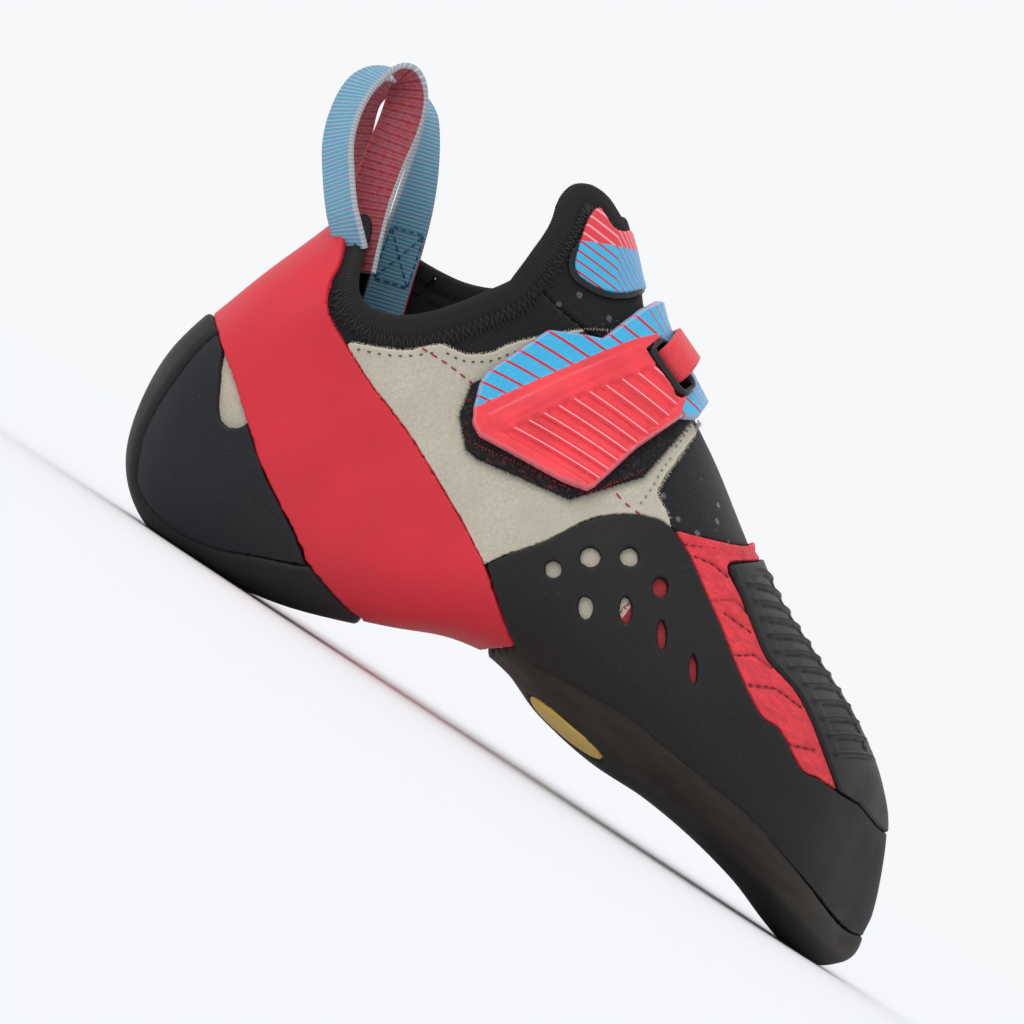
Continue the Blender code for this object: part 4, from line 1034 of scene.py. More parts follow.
def build_suede():
    thick = sizes().suede
    quarter = shape_of_quarter()
    opening = outline(SUEDE_OPENING + SUEDE_OPENING[:1])
    ragged = np.random.default_rng(7)
    waves = ragged.uniform(0, 2 * math.pi, 6)

    def fray(x, z):
        """Small unevenness of a raw cut edge."""
        made = 0.0
        for number, start in enumerate(waves):
            made = made + np.sin((x * (900 + 370 * number) + z * (700 + 410 * number)) + start)
        return made * 0.035 * MM

    def creases(p, u, angle, depth):
        x, z = side_view(p)
        wave = np.sin((x * 0.84 - z * 0.54) * 260) * np.sin((x * 0.54 + z * 0.84) * 90)
        return 0.12 * MM * wave * np.clip(depth / (6 * MM), 0, 1)

    def lateral(p, u, angle):
        x, y, z = np.moveaxis(p, -1, 0)
        flat = outline_distance(quarter, x, z) - SEAM + fray(x, z)
        flat = np.minimum(flat, -outline_distance(opening, x, z) + fray(x, z))
        return np.minimum(flat, THROAT_EDGE_LATERAL * BALL_WIDTH - y)

    def medial(p, u, angle):
        x, y, z = np.moveaxis(p, -1, 0)
        flat = outline_distance(quarter, x, z) - SEAM + fray(x, z)
        return np.minimum(flat, y - THROAT_EDGE_MEDIAL * BALL_WIDTH)

    finish = suede_finish("side_suede", colours().suede)
    near = panel("suede_side_lateral", lateral, GAP, thick, creases)
    dress(near, finish, "suede", "quarter_lateral")
    far = panel("suede_side_medial", medial, GAP, thick, creases)
    dress(far, finish, "suede", "quarter_medial")

    holes, window = outline(SUEDE_BEHIND_HOLES), outline(SUEDE_BEHIND_WINDOW)

    def under_rubber(p, u, angle):
        x, y, z = np.moveaxis(p, -1, 0)
        found = np.maximum(outline_distance(holes, x, z), outline_distance(window, x, z))
        return np.where(y < 0, found, np.minimum(found, outline_distance(window, x, z)))

    backing = panel("suede_under_rubber", under_rubber, BACKING_BASE, BACKING)
    dress(backing, finish, "suede")


def microfibre_finish():
    """Creased microfibre, with a line of painted shade along each kept tuck."""
    colour = colours().microfibre_red
    made = Finish("red_microfibre", tint(colour, 1), 0.62)
    grain = made.cells(900, at=made.moved((1.0, 1.0, 1.5), (0, math.radians(33), 0)))
    wrinkle = made.noise(260, 4, 0.7, at=made.moved((0.8, 1, 2.4), (0, math.radians(33), 0)))
    shade = made.mix(made.smooth(wrinkle, 0.35, 0.7), tint(colour, 0.80), tint(colour, 1.12))
    pale = made.smooth(made.noise(1100, 2, 0.6), 0.62, 0.75, 0.0, 0.30)
    shade = made.mix(pale, shade, srgb(250, 150, 155))
    # Painted shade: a dark line in the crease of each tuck, where the folds sink.
    line = made.smooth(made.kept("tuck"), 0.0001, 0.0005, 0.75, 0.0)
    shade = made.mix(line, shade, tint(colour, 0.30))
    made.colour(shade)
    made.roughness(made.smooth(grain, 0.1, 0.7, 0.55, 0.75))
    made.bump(grain, 0.00014, 0.5)
    made.bump(wrinkle, 0.0004, 0.55)
    return made


def build_vamp():
    shape = outline(VAMP_TOP, [(67.3, 67.0)], PATCH_EDGE[:9], RAND_TOP[-2:6:-1])
    top_edge = polygon(VAMP_TOP)
    tucks = [polygon(line) for line in VAMP_TUCKS]

    def inside(p, u, angle):
        return outline_distance(shape, *side_view(p)) - SEAM

    def folds(p, u, angle, depth):
        x, z = side_view(p)
        hem = line_distance(top_edge, x, z)
        made = 0.35 * MM * np.exp(-((hem / (1.6 * MM)) ** 2))
        made = made - 0.35 * MM * np.exp(-(((hem - 3.0 * MM) / (0.6 * MM)) ** 2))
        for tuck in tucks:
            made = made - 0.45 * MM * np.exp(-((line_distance(tuck, x, z) / (0.5 * MM)) ** 2))
        along = x * 0.84 - z * 0.54
        across = x * 0.54 + z * 0.84
        soft = np.sin(across * 2600 + 2.0 * np.sin(along * 240)) * np.sin(along * 310 + 1.3)
        return made + 0.07 * MM * soft * np.clip(depth / (2 * MM), 0, 1)

    def kept(p, u, angle, depth):
        x, z = side_view(p)
        nearest = np.min([line_distance(tuck, x, z) for tuck in tucks], axis=0)
        return {"tuck": nearest, "hem": line_distance(top_edge, x, z)}

    vamp = panel("toe_microfibre", inside, GAP, sizes().microfibre, folds, kept)
    made = microfibre_finish()
    dress(vamp, made, "microfibre", "vamp")

    holes = outline(MICROFIBRE_BEHIND_HOLES)

    def under_holes(p, u, angle):
        return np.where(p[..., 1] < 0, outline_distance(holes, *side_view(p)), -1.0)

    backing = panel("microfibre_under_rand", under_holes, BACKING_BASE, BACKING)
    dress(backing, made, "microfibre")


class OBJECT_OT_shoe_sides(PieceOperator):
    """Builds the suede sides and the panel over the toes"""

    bl_idname = "object.shoe_sides"
    bl_label = "Leathers"
    builders = (build_suede, build_vamp)


# Rubber

def hole_distance(x, z):
    """Distance outside the nearest hole of the rand."""
    lean = math.radians(HOLE_TILT)
    found = np.full(np.shape(x), np.inf)
    for hole in RAND_HOLES:
        dx, dz = x - hole.x * LENGTH / 100, z - hole.z * HEIGHT / 100
        across = dx * math.cos(lean) + dz * math.sin(lean)
        along = -dx * math.sin(lean) + dz * math.cos(lean)
        wide, high = HOLE_DIAMETER * hole.wide / 200, HOLE_DIAMETER * hole.high / 200
        share = np.hypot(across / wide, along / high)
        slope = np.hypot(across / wide**2, along / high**2)
        found = np.minimum(found, (share - 1) * share / np.maximum(slope, 1e-6))
    return found


def on_floor(points):
    points[..., 2] = np.maximum(points[..., 2], 0.0)
    return points


def settle(piece):
    """Flattens what would be under the floor."""
    points = np.array([v.co for v in piece.data.vertices])
    piece.data.vertices.foreach_set("co", on_floor(points).astype(np.float32).ravel())
    piece.data.update()
    return piece


def latex_finish():
    """Red latex with fine pits and paler edges."""
    c = colours()
    red = Finish("red_latex", tint(c.band_red, 1), 0.55)
    cloud = red.noise(55, 4, 0.6)
    shade = red.mix(red.smooth(cloud, 0.3, 0.7), tint(c.band_red, 0.95), tint(c.band_red, 1.05))
    pits = red.smooth(red.noise(1400, 2, 0.6), 0.60, 0.76, 0.0, 0.4)
    shade = red.mix(pits, shade, tint(c.band_red, 0.62))
    rim = red.smooth(red.kept("edge"), 0.0001, 0.0009, 0.5, 0.0)
    red.colour(red.mix(rim, shade, tint(c.band_red, 1.3)))
    red.roughness(red.smooth(cloud, 0.3, 0.7, 0.50, 0.62))
    red.bump(red.noise(1100, 3, 0.6), 0.00006, 0.5)
    red.bump(red.noise(120, 2, 0.5), 0.0003, 0.3)
    return red


def build_heel():
    s = sizes()
    c = colours()
    band_shape = shape_of_band()

    def band_inside(p, u, angle):
        return outline_distance(band_shape, *side_view(p)) - SEAM

    def band_relief(p, u, angle, depth):
        x, z = side_view(p)
        return 0.10 * MM * np.sin(x * 210 + z * 160) * np.clip(depth / (5 * MM), 0, 1)

    band = panel("heel_band", band_inside, GAP, s.band, band_relief)
    dress(band, latex_finish(), "red_rubber", "tension_band")

    cup_shape = outline(CUP_GROOVE, BAND_REAR[5:3:-1], CUP_WINDOW, BAND_REAR[1:2])
    corner = polygon(CUP_CORNER)

    def cup_inside(p, u, angle):
        x, y, z = np.moveaxis(p, -1, 0)
        under_band = np.maximum(outline_distance(cup_shape, x, z), outline_distance(corner, x, z))
        return np.minimum(under_band - SEAM, np.abs(y) - 0.05 * MM)

    cup_rubber = rubber_finish("heel_cup_rubber", c.heel_rubber, 0.60, 0.6)
    for side, label in ((-1, "lateral"), (1, "medial")):
        def one_side(p, u, angle, side=side):
            return np.minimum(cup_inside(p, u, angle), side * p[..., 1])

        cup = panel(f"heel_side_{label}", one_side, GAP, s.cup)
        dress(cup, cup_rubber, "cup_rubber", f"heel_cup_{label}")

    around = [(33.4, -6.0), (-4.0, -6.0), (-4.0, 41.5)]
    strip_shape = outline(CUP_GROOVE, BAND_REAR[6:], *corners(around), BAND_REAR[:1])

    def strip_inside(p, u, angle):
        return outline_distance(strip_shape, *side_view(p)) - SEAM

    strip = panel("heel_rubber", strip_inside, GAP, s.strip)
    dress(settle(strip), rubber_finish("heel_strip_rubber", c.rubber, 0.62), "rubber", "heel_strip")


def build_toe():
    s = sizes()
    c = colours()
    front = [(104.0, 28.5), (104.0, 9.3)]
    sides = [
        outline(RAND_TOP, PATCH_EDGE[9:], front, top[:1:-1], BAND_FRONT[:-4:-1])
        for top in (SOLE_TOP_LATERAL, SOLE_TOP_MEDIAL)
    ]

    def rand_inside(p, u, angle):
        holes = np.where(p[..., 1] < 0, hole_distance(*side_view(p)), np.inf)
        return np.minimum(blended_distance(p, *sides) - SEAM, holes)

    def rand_relief(p, u, angle, depth):
        x, y, z = np.moveaxis(p, -1, 0)
        soft = np.sin(x * 150 + 1) * np.sin(z * 170 + y * 90)
        tip = np.clip((u - 0.985) / 0.02, 0, 1)
        return 0.14 * MM * soft * np.clip(depth / (5 * MM), 0, 1) - 0.9 * MM * tip

    rand = panel("toe_rubber", rand_inside, GAP, s.rand, rand_relief)
    dress(rand, rubber_finish("rand_rubber", c.rubber, 0.60), "rubber", "toe_rand")

    ahead = [front[0], (104.0, 70.0), (67.8, 70.0)]
    patch_shape = outline(PATCH_EDGE[:2], PATCH_EDGE[1:9], PATCH_EDGE[9:], *corners(ahead))
    start, end = polygon(RIB_LINE)
    way = (end - start) / np.linalg.norm(end - start)
    pitch, rise = s.rib_pitch, s.rib

    def patch_inside(p, u, angle):
        return outline_distance(patch_shape, *side_view(p)) - SEAM

    def ribs(p, u, angle, depth):
        x, y, z = np.moveaxis(p, -1, 0)
        away = np.hypot(y - RIB_CREST * BALL_WIDTH, 4 * MM)
        run = (x - start[0]) * way[0] + (z - start[1]) * way[1] + RIB_SWEEP * away - 2 * MM
        phase = run / pitch % 1
        ends = np.clip((run + 0.3 * pitch) / MM, 0, 1) * np.clip(
            ((RIB_COUNT + 0.3) * pitch - run) / MM, 0, 1)
        edge = np.clip((depth - 1.6 * MM) / (0.8 * MM), 0, 1)
        from_rib = np.minimum(phase, 1 - phase) * pitch
        side_field = np.clip((away - 6.5 * MM) / (2.5 * MM), 0.15, 1)
        ridge = rise * 0.75 * np.exp(-((from_rib / (0.55 * MM)) ** 2)) * side_field
        step = away - (10.5 * MM + 1.6 * MM * ((phase * 2) % 1))
        hollow = np.clip(step / (0.35 * MM), 0, 1) * np.clip(
            (phase - 0.17) / 0.05, 0, 1) * np.clip((0.80 - phase) / 0.05, 0, 1)
        hollow = hollow * np.clip((depth - 3.4 * MM) / (0.5 * MM), 0, 1)
        return (ridge * edge - 0.50 * MM * hollow) * ends

    patch = panel("toe_top_rubber", patch_inside, GAP, s.patch, ribs)
    dress(patch, rubber_finish("patch_rubber", c.rubber, 0.52), "rubber", "toe_patch")


def sole_finish():
    """Rubber with a sanded band along the sole's edge."""
    c = colours()
    rubber = rubber_finish("sole_rubber", c.rubber, 0.66, 0.3)
    base = rubber.surface.inputs["Base Color"].links[0].from_socket
    band = rubber.smooth(rubber.kept("edge"), 0.0050, 0.0066, 0.85, 0.0)
    streak = rubber.noise(500, 3, 0.7, at=rubber.moved((0.12, 0.12, 1.0)))
    worn = rubber.mix(rubber.smooth(streak, 0.3, 0.7), tint(c.sanded, 0.95), tint(c.sanded, 1.5))
    rubber.colour(rubber.mix(band, base, worn))
    return rubber


def build_sole():
    s = sizes()
    c = colours()
    below = [(104.0, 9.3), (104.0, -6.0), (46.5, -6.0)]
    sides = [
        outline(top[:2], top[1:], *corners(below)) for top in (SOLE_TOP_LATERAL, SOLE_TOP_MEDIAL)
    ]
    centre, radii = np.array(INSET_CENTRE) * PLAN_PERCENT, np.array(INSET_RADII) * PLAN_PERCENT

    def sole_inside(p, u, angle):
        return blended_distance(p, *sides) - SEAM

    def oval(p):
        share = np.hypot((p[..., 0] - centre[0]) / radii[0], (p[..., 1] - centre[1]) / radii[1])
        return (1 - share) * radii.min()

    def pocket(p, u, angle, depth):
        bevel = -(s.sole - s.rand - 0.25 * MM) * (1 - np.clip(depth / (6.5 * MM), 0, 1)) ** 1.6
        cut = np.clip(oval(p) / (0.6 * MM) + 1, 0, 1) * (p[..., 2] < 0.04)
        return bevel - (INSET_DEPTH + 0.1 * MM) * cut

    sole = panel("half_sole", sole_inside, GAP, s.sole, pocket)
    dress(settle(sole), sole_finish(), "sole_rubber", "outsole")

    def inset_inside(p, u, angle):
        return np.where(p[..., 2] < 0.05, oval(p), -1.0)

    inset = panel("sole_oval", inset_inside, GAP + s.sole - INSET_DEPTH, INSET_DEPTH)
    made = Finish("oval_rubber", tint(c.inset, 1), 0.5)
    cloud = made.noise(300, 3, 0.6)
    made.colour(made.mix(made.smooth(cloud, 0.3, 0.7), tint(c.inset, 0.92), tint(c.inset, 1.0)))
    made.bump(made.noise(1200, 2, 0.6), 0.0001, 0.4)
    dress(inset, made, "inset", "sole_inset")


class OBJECT_OT_shoe_rubber(PieceOperator):
    """Builds the heel rubber, the rand, the toe patch and the sole"""

    bl_idname = "object.shoe_rubber"
    bl_label = "Rubber"
    builders = (build_heel, build_toe, build_sole)


# Bands of cloth along a line

def band_mesh(name, rows, values=None):
    """A closed strip: each row is a ring of points round the band, first to last."""
    rows = np.asarray(rows)
    count, ring = rows.shape[:2]
    i, j = np.meshgrid(np.arange(count - 1), np.arange(ring), indexing="ij")
    k = (j + 1) % ring
    quads = np.stack([i * ring + j, (i + 1) * ring + j, (i + 1) * ring + k, i * ring + k], -1)
    faces = quads.reshape(-1, 4).tolist()
    faces.append(list(range(ring)))
    faces.append(list(range(count * ring - 1, (count - 1) * ring - 1, -1)))
    return solid(name, rows.reshape(-1, 3), faces, values, turn_out=True)


def resampled(points, values, spacing):
    """Evenly spaced points of a smooth curve, with other columns carried along."""
    table = np.concatenate([np.asarray(points), np.asarray(values).reshape(len(points), -1)], 1)
    fine = smooth_path(table, 60 * len(table))
    run = run_along(fine[:, :3])
    stops = np.linspace(0, run[-1], int(run[-1] / spacing))
    made = np.stack([np.interp(stops, run, column) for column in fine.T], 1)
    return made[:, :3], made[:, 3:], stops


def woven_band(name, middle, wide, run, width, thick, weave, bead=0.35, rib=0.10):
    """A woven strip along a path, with its cross threads as low ribs and beaded edges."""
    ahead = unit(np.gradient(middle, axis=0))
    wide = unit(wide - ahead * (wide * ahead).sum(1, keepdims=True))
    up = np.cross(ahead, wide)
    spread = np.concatenate([[-1, -0.97], np.linspace(-0.92, 0.92, 13), [0.97, 1]])
    on_edge = np.abs(spread) > 0.89
    fall = np.sqrt(np.clip(1.02 - np.clip((np.abs(spread) - 0.9) / 0.1, 0, 1) ** 2, 0.03, 1))
    wave = np.cos(2 * math.pi * run / weave)[:, None]
    half = thick / 2 * (1 + bead * on_edge + rib * wave * ~on_edge) * fall
    flat = middle[:, None] + (spread * width / 2)[:, None] * wide[:, None]
    top = flat + half[..., None] * up[:, None]
    low = flat - half[..., None] * up[:, None]
    rows = np.concatenate([top, low[:, ::-1]], axis=1)
    side = np.tile(np.concatenate([spread, spread[::-1]]), (len(run), 1))
    face = np.tile(np.concatenate([np.ones(len(spread)), -np.ones(len(spread))]), (len(run), 1))
    length = np.repeat(run[:, None], rows.shape[1], axis=1)
    return band_mesh(name, rows, {"side": side, "face": face, "run": length}), wide, up


def webbing_finish():
    c = colours()
    s = sizes()
    made = Finish("woven_webbing", tint(c.webbing_blue, 1), 0.78)
    face = made.smooth(made.kept("face"), -0.1, 0.1)
    side = made.kept("side")
    # Painted shade and highlight: each face darker between the cross threads and lighter on them.
    groove = made.grooves(s.weave, 0.25)
    blue = made.mix(groove, tint(c.webbing_blue, 0.60), tint(c.webbing_blue, 1.08))
    red = made.mix(groove, tint(c.webbing_red, 0.45), tint(c.webbing_red, 1.10))
    shade = made.mix(face, red, blue)
    warp = made.math("FRACT", made.math("MULTIPLY", side, 10.0))
    weft = made.math("FRACT", made.math("DIVIDE", made.kept("run"), s.weave * 2))
    checks = made.math("MULTIPLY", made.smooth(warp, 0.3, 0.7), made.smooth(weft, 0.35, 0.65))
    other = made.mix(face, tint(c.pale, 1), tint(c.webbing_red, 1.3))
    shade = made.mix(made.math("MULTIPLY", checks, 0.16), shade, other)
    cloud = made.smooth(made.noise(900, 3, 0.6), 0.3, 0.7)
    shade = made.mix(made.math("MULTIPLY", cloud, 0.25), shade, tint(c.webbing_blue, 0.5))
    white = made.smooth(side, -0.92, -0.88, 1.0, 0.0)
    # The white beads carry the same painted shade between the cross threads.
    beads = made.mix(groove, srgb(158, 164, 170), srgb(200, 205, 210))
    shade = made.mix(white, shade, beads)
    red_edge = made.smooth(side, 0.90, 0.94)
    made.colour(made.mix(red_edge, shade, tint(c.webbing_red, 1.1)))
    made.bump(made.noise(2400, 2, 0.6), 0.00012, 0.5)
    made.bump(warp, 0.00008, 0.4)
    made.set(made.surface, {"Sheen Weight": 0.15})
    return made


def build_loops():
    s = sizes()
    finish = webbing_finish()
    for side, label, bends in ((-1, "lateral", LATERAL_LOOP), (1, "medial", MEDIAL_LOOP)):
        points = [
            np.array([b.x * LENGTH, side * b.y * BALL_WIDTH, b.z * HEIGHT]) / 100 for b in bends
        ]
        middle, turn, run = resampled(points, [math.radians(b.turn) for b in bends], s.weave / 4)
        ahead = np.gradient(middle, axis=0)
        outward = unit(np.stack([-ahead[:, 2], np.zeros(len(run)), ahead[:, 0]], 1))
        wide = np.sin(turn) * outward + np.cos(turn) * np.array([0.0, 1.0, 0.0])
        webbing, wide, up = woven_band(
            f"webbing_{label}", middle + MIDDLE, wide, run, s.webbing, s.webbing_thick, s.weave
        )
        dress(webbing, finish, "webbing", f"pull_loop_{label}")
        if label == "medial":
            box_stitches(middle + MIDDLE, wide, up, run)


def box_stitches(middle, wide, up, run):
    """A sewn box with a cross in it, at the inner end of the medial loop."""
    s = sizes()
    low, high = (run[-1] - length for length in STITCH_BOX)
    half = STITCH_BOX_HALF * s.webbing
    corners = [(low, -half), (low, half), (high, half), (high, -half), (low, -half),
               (high, half), (high, -half), (low, half)]
    places, ways = [], []
    for (r0, w0), (r1, w1) in zip(corners, corners[1:]):
        count = max(int(math.hypot(r1 - r0, w1 - w0) / s.stitch), 1)
        for share in (np.arange(count) + 0.5) / count:
            at, across = r0 + (r1 - r0) * share, w0 + (w1 - w0) * share
            i = int(np.clip(np.searchsorted(run, at), 1, len(run) - 2))
            ahead = middle[i + 1] - middle[i]
            ahead /= np.linalg.norm(ahead)
            places.append(middle[i] + wide[i] * across + up[i] * s.webbing_thick * 0.62)
            ways.append((ahead * (r1 - r0) + wide[i] * (w1 - w0), up[i]))
    thread = thread_finish("box_thread", srgb(24, 112, 138))
    stitches("webbing_box", np.array(places), *np.moveaxis(np.array(ways), 1, 0), s.stitch * 0.9,
             0.5 * MM, thread, "webbing")


# Stitches and loose fibres

def thread_finish(name, colour):
    made = Finish(name, colour, 0.7)
    twist = made.noise(3000, 2, 0.6, at=made.moved((1, 1, 0.4)))
    made.colour(made.mix(made.smooth(twist, 0.3, 0.7), tint(colour, 0.55), tint(colour, 1.25)))
    made.bump(twist, 0.0001, 0.5)
    return made


def stitch_tree(name):
    """Node tree that lays a thin rounded thread at each point, along its kept directions."""
    tree = bpy.data.node_groups.new(name, "GeometryNodeTree")
    face = tree.interface
    face.new_socket("Geometry", in_out="INPUT", socket_type="NodeSocketGeometry")
    for label, value in (("Stitch Length", 0.002), ("Thread", 0.0005), ("Unevenness", 0.1)):
        face.new_socket(label, in_out="INPUT", socket_type="NodeSocketFloat").default_value = value
    face.new_socket("Material", in_out="INPUT", socket_type="NodeSocketMaterial")
    face.new_socket("Geometry", in_out="OUTPUT", socket_type="NodeSocketGeometry")

    def node(kind, values=None, **settings):
        made = tree.nodes.new(kind)
        for key, value in settings.items():
            setattr(made, key, value)
        for key, value in (values or {}).items():
            if isinstance(value, bpy.types.NodeSocket):
                tree.links.new(value, made.inputs[key])
            else:
                made.inputs[key].default_value = value
        return made

    def kept(label):
        made = node("GeometryNodeInputNamedAttribute", {"Name": label}, data_type="FLOAT_VECTOR")
        return made.outputs["Attribute"]

    start = node("NodeGroupInput").outputs
    bead = node("GeometryNodeMeshUVSphere", {"Segments": 6, "Rings": 4, "Radius": 0.5})
    turned = node(
        "FunctionNodeAxesToRotation", {0: kept("ahead"), 1: kept("out")},
        primary_axis="X", secondary_axis="Z",
    )
    chance = node("FunctionNodeRandomValue", {2: -1.0, 3: 1.0, "Seed": 5}, data_type="FLOAT")
    uneven = node(
        "ShaderNodeMath", {0: chance.outputs[1], 1: start["Unevenness"], 2: 1.0},
        operation="MULTIPLY_ADD",
    )
    long = node(
        "ShaderNodeMath", {0: uneven.outputs[0], 1: start["Stitch Length"]}, operation="MULTIPLY"
    )
    scale = node(
        "ShaderNodeCombineXYZ", {0: long.outputs[0], 1: start["Thread"], 2: start["Thread"]}
    )
    laid = node("GeometryNodeInstanceOnPoints", {
        "Points": start["Geometry"], "Instance": bead.outputs["Mesh"],
        "Rotation": turned.outputs[0], "Scale": scale.outputs[0],
    })
    real = node("GeometryNodeRealizeInstances", {"Geometry": laid.outputs[0]})
    soft = node("GeometryNodeSetShadeSmooth", {"Geometry": real.outputs[0]})
    ready = node(
        "GeometryNodeSetMaterial", {"Geometry": soft.outputs[0], "Material": start["Material"]}
    )
    node("NodeGroupOutput", {"Geometry": ready.outputs[0]})
    return tree


def stitches(name, points, ahead, out, length, thick, finish, slot, uneven=0.1):
    """Threads laid at points, each along its own direction, as one mesh."""
    mesh = bpy.data.meshes.new(name)
    mesh.from_pydata(np.asarray(points).tolist(), [], [])
    for key, vectors in (("ahead", ahead), ("out", out)):
        layer = mesh.attributes.new(key, "FLOAT_VECTOR", "POINT")
        layer.data.foreach_set("vector", np.asarray(vectors, np.float32).ravel())
    made = bpy.data.objects.new(name, mesh)
    bpy.context.scene.collection.objects.link(made)
    tree = stitch_tree(name + "_nodes")
    modifier = made.modifiers.new("stitches", "NODES")
    modifier.node_group = tree
    keys = {item.name: item.identifier for item in tree.interface.items_tree
            if item.in_out == "INPUT"}
    modifier[keys["Stitch Length"]] = float(length)
    modifier[keys["Thread"]] = float(thick)
    modifier[keys["Unevenness"]] = float(uneven)
    modifier[keys["Material"]] = finish.material
    graph = bpy.context.evaluated_depsgraph_get()
    real = bpy.data.meshes.new_from_object(made.evaluated_get(graph))
    made.modifiers.clear()
    made.data = real
    return dress(made, finish, slot)


def sewn_line(name, line, offset, finish, slot, length, pitch, thick):
    """A row of stitches along a line seen from the lateral side, in percent."""
    points, out = line_on_side(line, offset, pitch * MM)
    ahead = np.gradient(points, axis=0)
    return stitches(name, points, ahead, out, length * MM, thick * MM, finish, slot)


def fringe(name, line, offset, finish, slot, length, spacing, thick=0.11, seed=3):
    """Loose fibres standing off a torn edge. Their length, spacing and thickness are in mm."""
    chance = np.random.default_rng(seed)
    points, out = line_on_side(line, offset, spacing * MM)
    ahead = unit(np.gradient(points, axis=0))
    across = np.cross(ahead, out)
    swing = chance.uniform(-1.1, 1.1, (len(points), 1))
    lift = chance.uniform(-0.1, 0.5, (len(points), 1))
    way = across * np.cos(swing) + ahead * np.sin(swing) + out * lift
    points = points + ahead * chance.uniform(-0.3, 0.3, (len(points), 1)) * MM
    return stitches(name, points, way, out, length * MM, thick * MM, finish, slot, uneven=0.5)


def fibre_finish(name, colour, roughness, dark, light):
    made = Finish(name, colour, roughness)
    made.colour(made.mix(made.noise(900, 2, 0.6), dark, light))
    return made


class OBJECT_OT_shoe_loops(PieceOperator):
    """Builds the two pull loops at the heel"""

    bl_idname = "object.shoe_loops"
    bl_label = "Pull loops"
    builders = (build_loops,)


def rim_line(spacing):
    """The collar's rim as places on the last, in order all the way round."""
    u, angle = np.meshgrid(np.linspace(0, 0.75, 420), np.linspace(-260, 100, 361), indexing="ij")
    depth = below_rim(last_surface(u, angle, 0.0)) - RIM_DROP
    rows = []
    for j in range(361):
        line = depth[:, j]
        crosses = np.flatnonzero((line[:-1] <= 0) != (line[1:] <= 0))
        if len(crosses) == 0:
            continue
        i = crosses[0]
        share = line[i] / (line[i] - line[i + 1])
        rows.append((u[i, j] * (1 - share) + u[i + 1, j] * share, angle[i, j]))
    places = np.array(rows)
    points = last_surface(places[:, 0], places[:, 1], 0.0)
    run = run_along(points)
    stops = np.linspace(0, run[-1], int(run[-1] / spacing))
    return np.interp(stops, run, places[:, 0]), np.interp(stops, run, places[:, 1]), stops


def tape_finish():
    """Elastic tape with ribs, painted shade in the grooves between them, painted highlight on their
    tops, and a little lint.
    """
    c = colours()
    finish = Finish("ribbed_tape", tint(c.tape, 1), 0.85)
    groove = finish.grooves(TAPE_RIB, 0.2)
    lint = finish.smooth(finish.noise(2600, 2, 0.7), 0.62, 0.74, 0.0, 0.25)
    # Painted shade and highlight: darker in the grooves between the ribs, lighter on their tops.
    shade = finish.mix(groove, tint(c.tape, 0.35), tint(c.tape, 1.5))
    shade = finish.mix(finish.smooth(finish.kept("low"), 0.5, 0.6), shade, tint(c.tape, 0.5))
    finish.colour(finish.mix(lint, shade, srgb(78, 78, 82)))
    finish.bump(finish.noise(2600, 2, 0.6), 0.00012, 0.6)
    return finish


def build_tape():
    """The ribbed tape folded over the rim, with the overlock threads under it."""
    s = sizes()
    u, angle, run = rim_line(TAPE_RIB / 4)
    steps = 11
    rows_u, rows_angle = [u], [angle]
    share = rim_share(last_surface(u, angle, 0.0)[:, 0])
    share = np.convolve(np.pad(share, 40, mode="edge"), np.ones(81) / 81, mode="valid")
    for _ in range(steps):
        here = last_surface(u, angle, 0.0)
        ahead = (last_surface(u + 0.002, angle, 0.0) - here) / 0.002
        around = (last_surface(u, angle + 1.0, 0.0) - here) / 1.0
        depth = below_rim(here)
        slope_u = (below_rim(here + ahead * 0.0005) - depth) / 0.0005
        slope_angle = (below_rim(here + around * 0.2) - depth) / 0.2
        aa, ab, bb = (ahead**2).sum(1), (ahead * around).sum(1), (around**2).sum(1)
        det = aa * bb - ab**2
        move_u = (bb * slope_u - ab * slope_angle) / det
        move_angle = (aa * slope_angle - ab * slope_u) / det
        length = np.linalg.norm(ahead * move_u[:, None] + around * move_angle[:, None], axis=1)
        step = s.tape * share / steps / np.maximum(length, 1e-9)
        u = np.clip(u + move_u * step, 0, 1)
        angle = angle + move_angle * step
        for values in (u, angle):
            values[:] = np.convolve(np.pad(values, 6, mode="edge"), np.ones(13) / 13, mode="valid")
        rows_u.append(u)
        rows_angle.append(angle)
    rows_u, rows_angle = np.array(rows_u).T, np.array(rows_angle).T
    rib = np.cos(2 * math.pi * run / TAPE_RIB)[:, None]
    lip = np.linspace(0, 1, steps + 1)
    roll = np.clip((PIPING - lip) / PIPING, 0, 1)
    swell = s.tape_raise * np.where(
        lip < PIPING, 0.42 + 0.58 * np.sqrt(1 - (1 - np.clip(roll * 1.6, 0, 1)) ** 2), 0.36)
    swell = np.where(lip > 0.95, 0.12 * s.tape_raise, swell)
    rib = np.where(lip < PIPING, 0.055, 0.02) * MM * rib
    outer = last_surface(rows_u, rows_angle, swell + rib)
    inner = last_surface(rows_u, rows_angle, -WALL - swell - rib)
    first, second = outer[:, 0], inner[:, 0]
    up = unit(outer[:, 0] - outer[:, 3])
    arc = []
    for turn in np.linspace(0, math.pi, 8)[1:-1]:
        mid = first * (1 + math.cos(turn)) / 2 + second * (1 - math.cos(turn)) / 2
        arc.append(mid + up * math.sin(turn) * (0.44 * (WALL + 2 * s.tape_raise) + rib[:, :1]))
    rows = np.concatenate([outer[:, ::-1], np.stack(arc, 1), inner], axis=1) + MIDDLE
    ring = rows.shape[1]
    low = np.tile(np.concatenate([lip[::-1], np.zeros(len(arc)), lip]), (len(run), 1))
    made = band_mesh("rim_tape", rows, {"run": np.repeat(run[:, None], ring, axis=1), "low": low})
    dress(made, tape_finish(), "tape", "collar_binding")
    overlock(rows_u, rows_angle, run, steps)


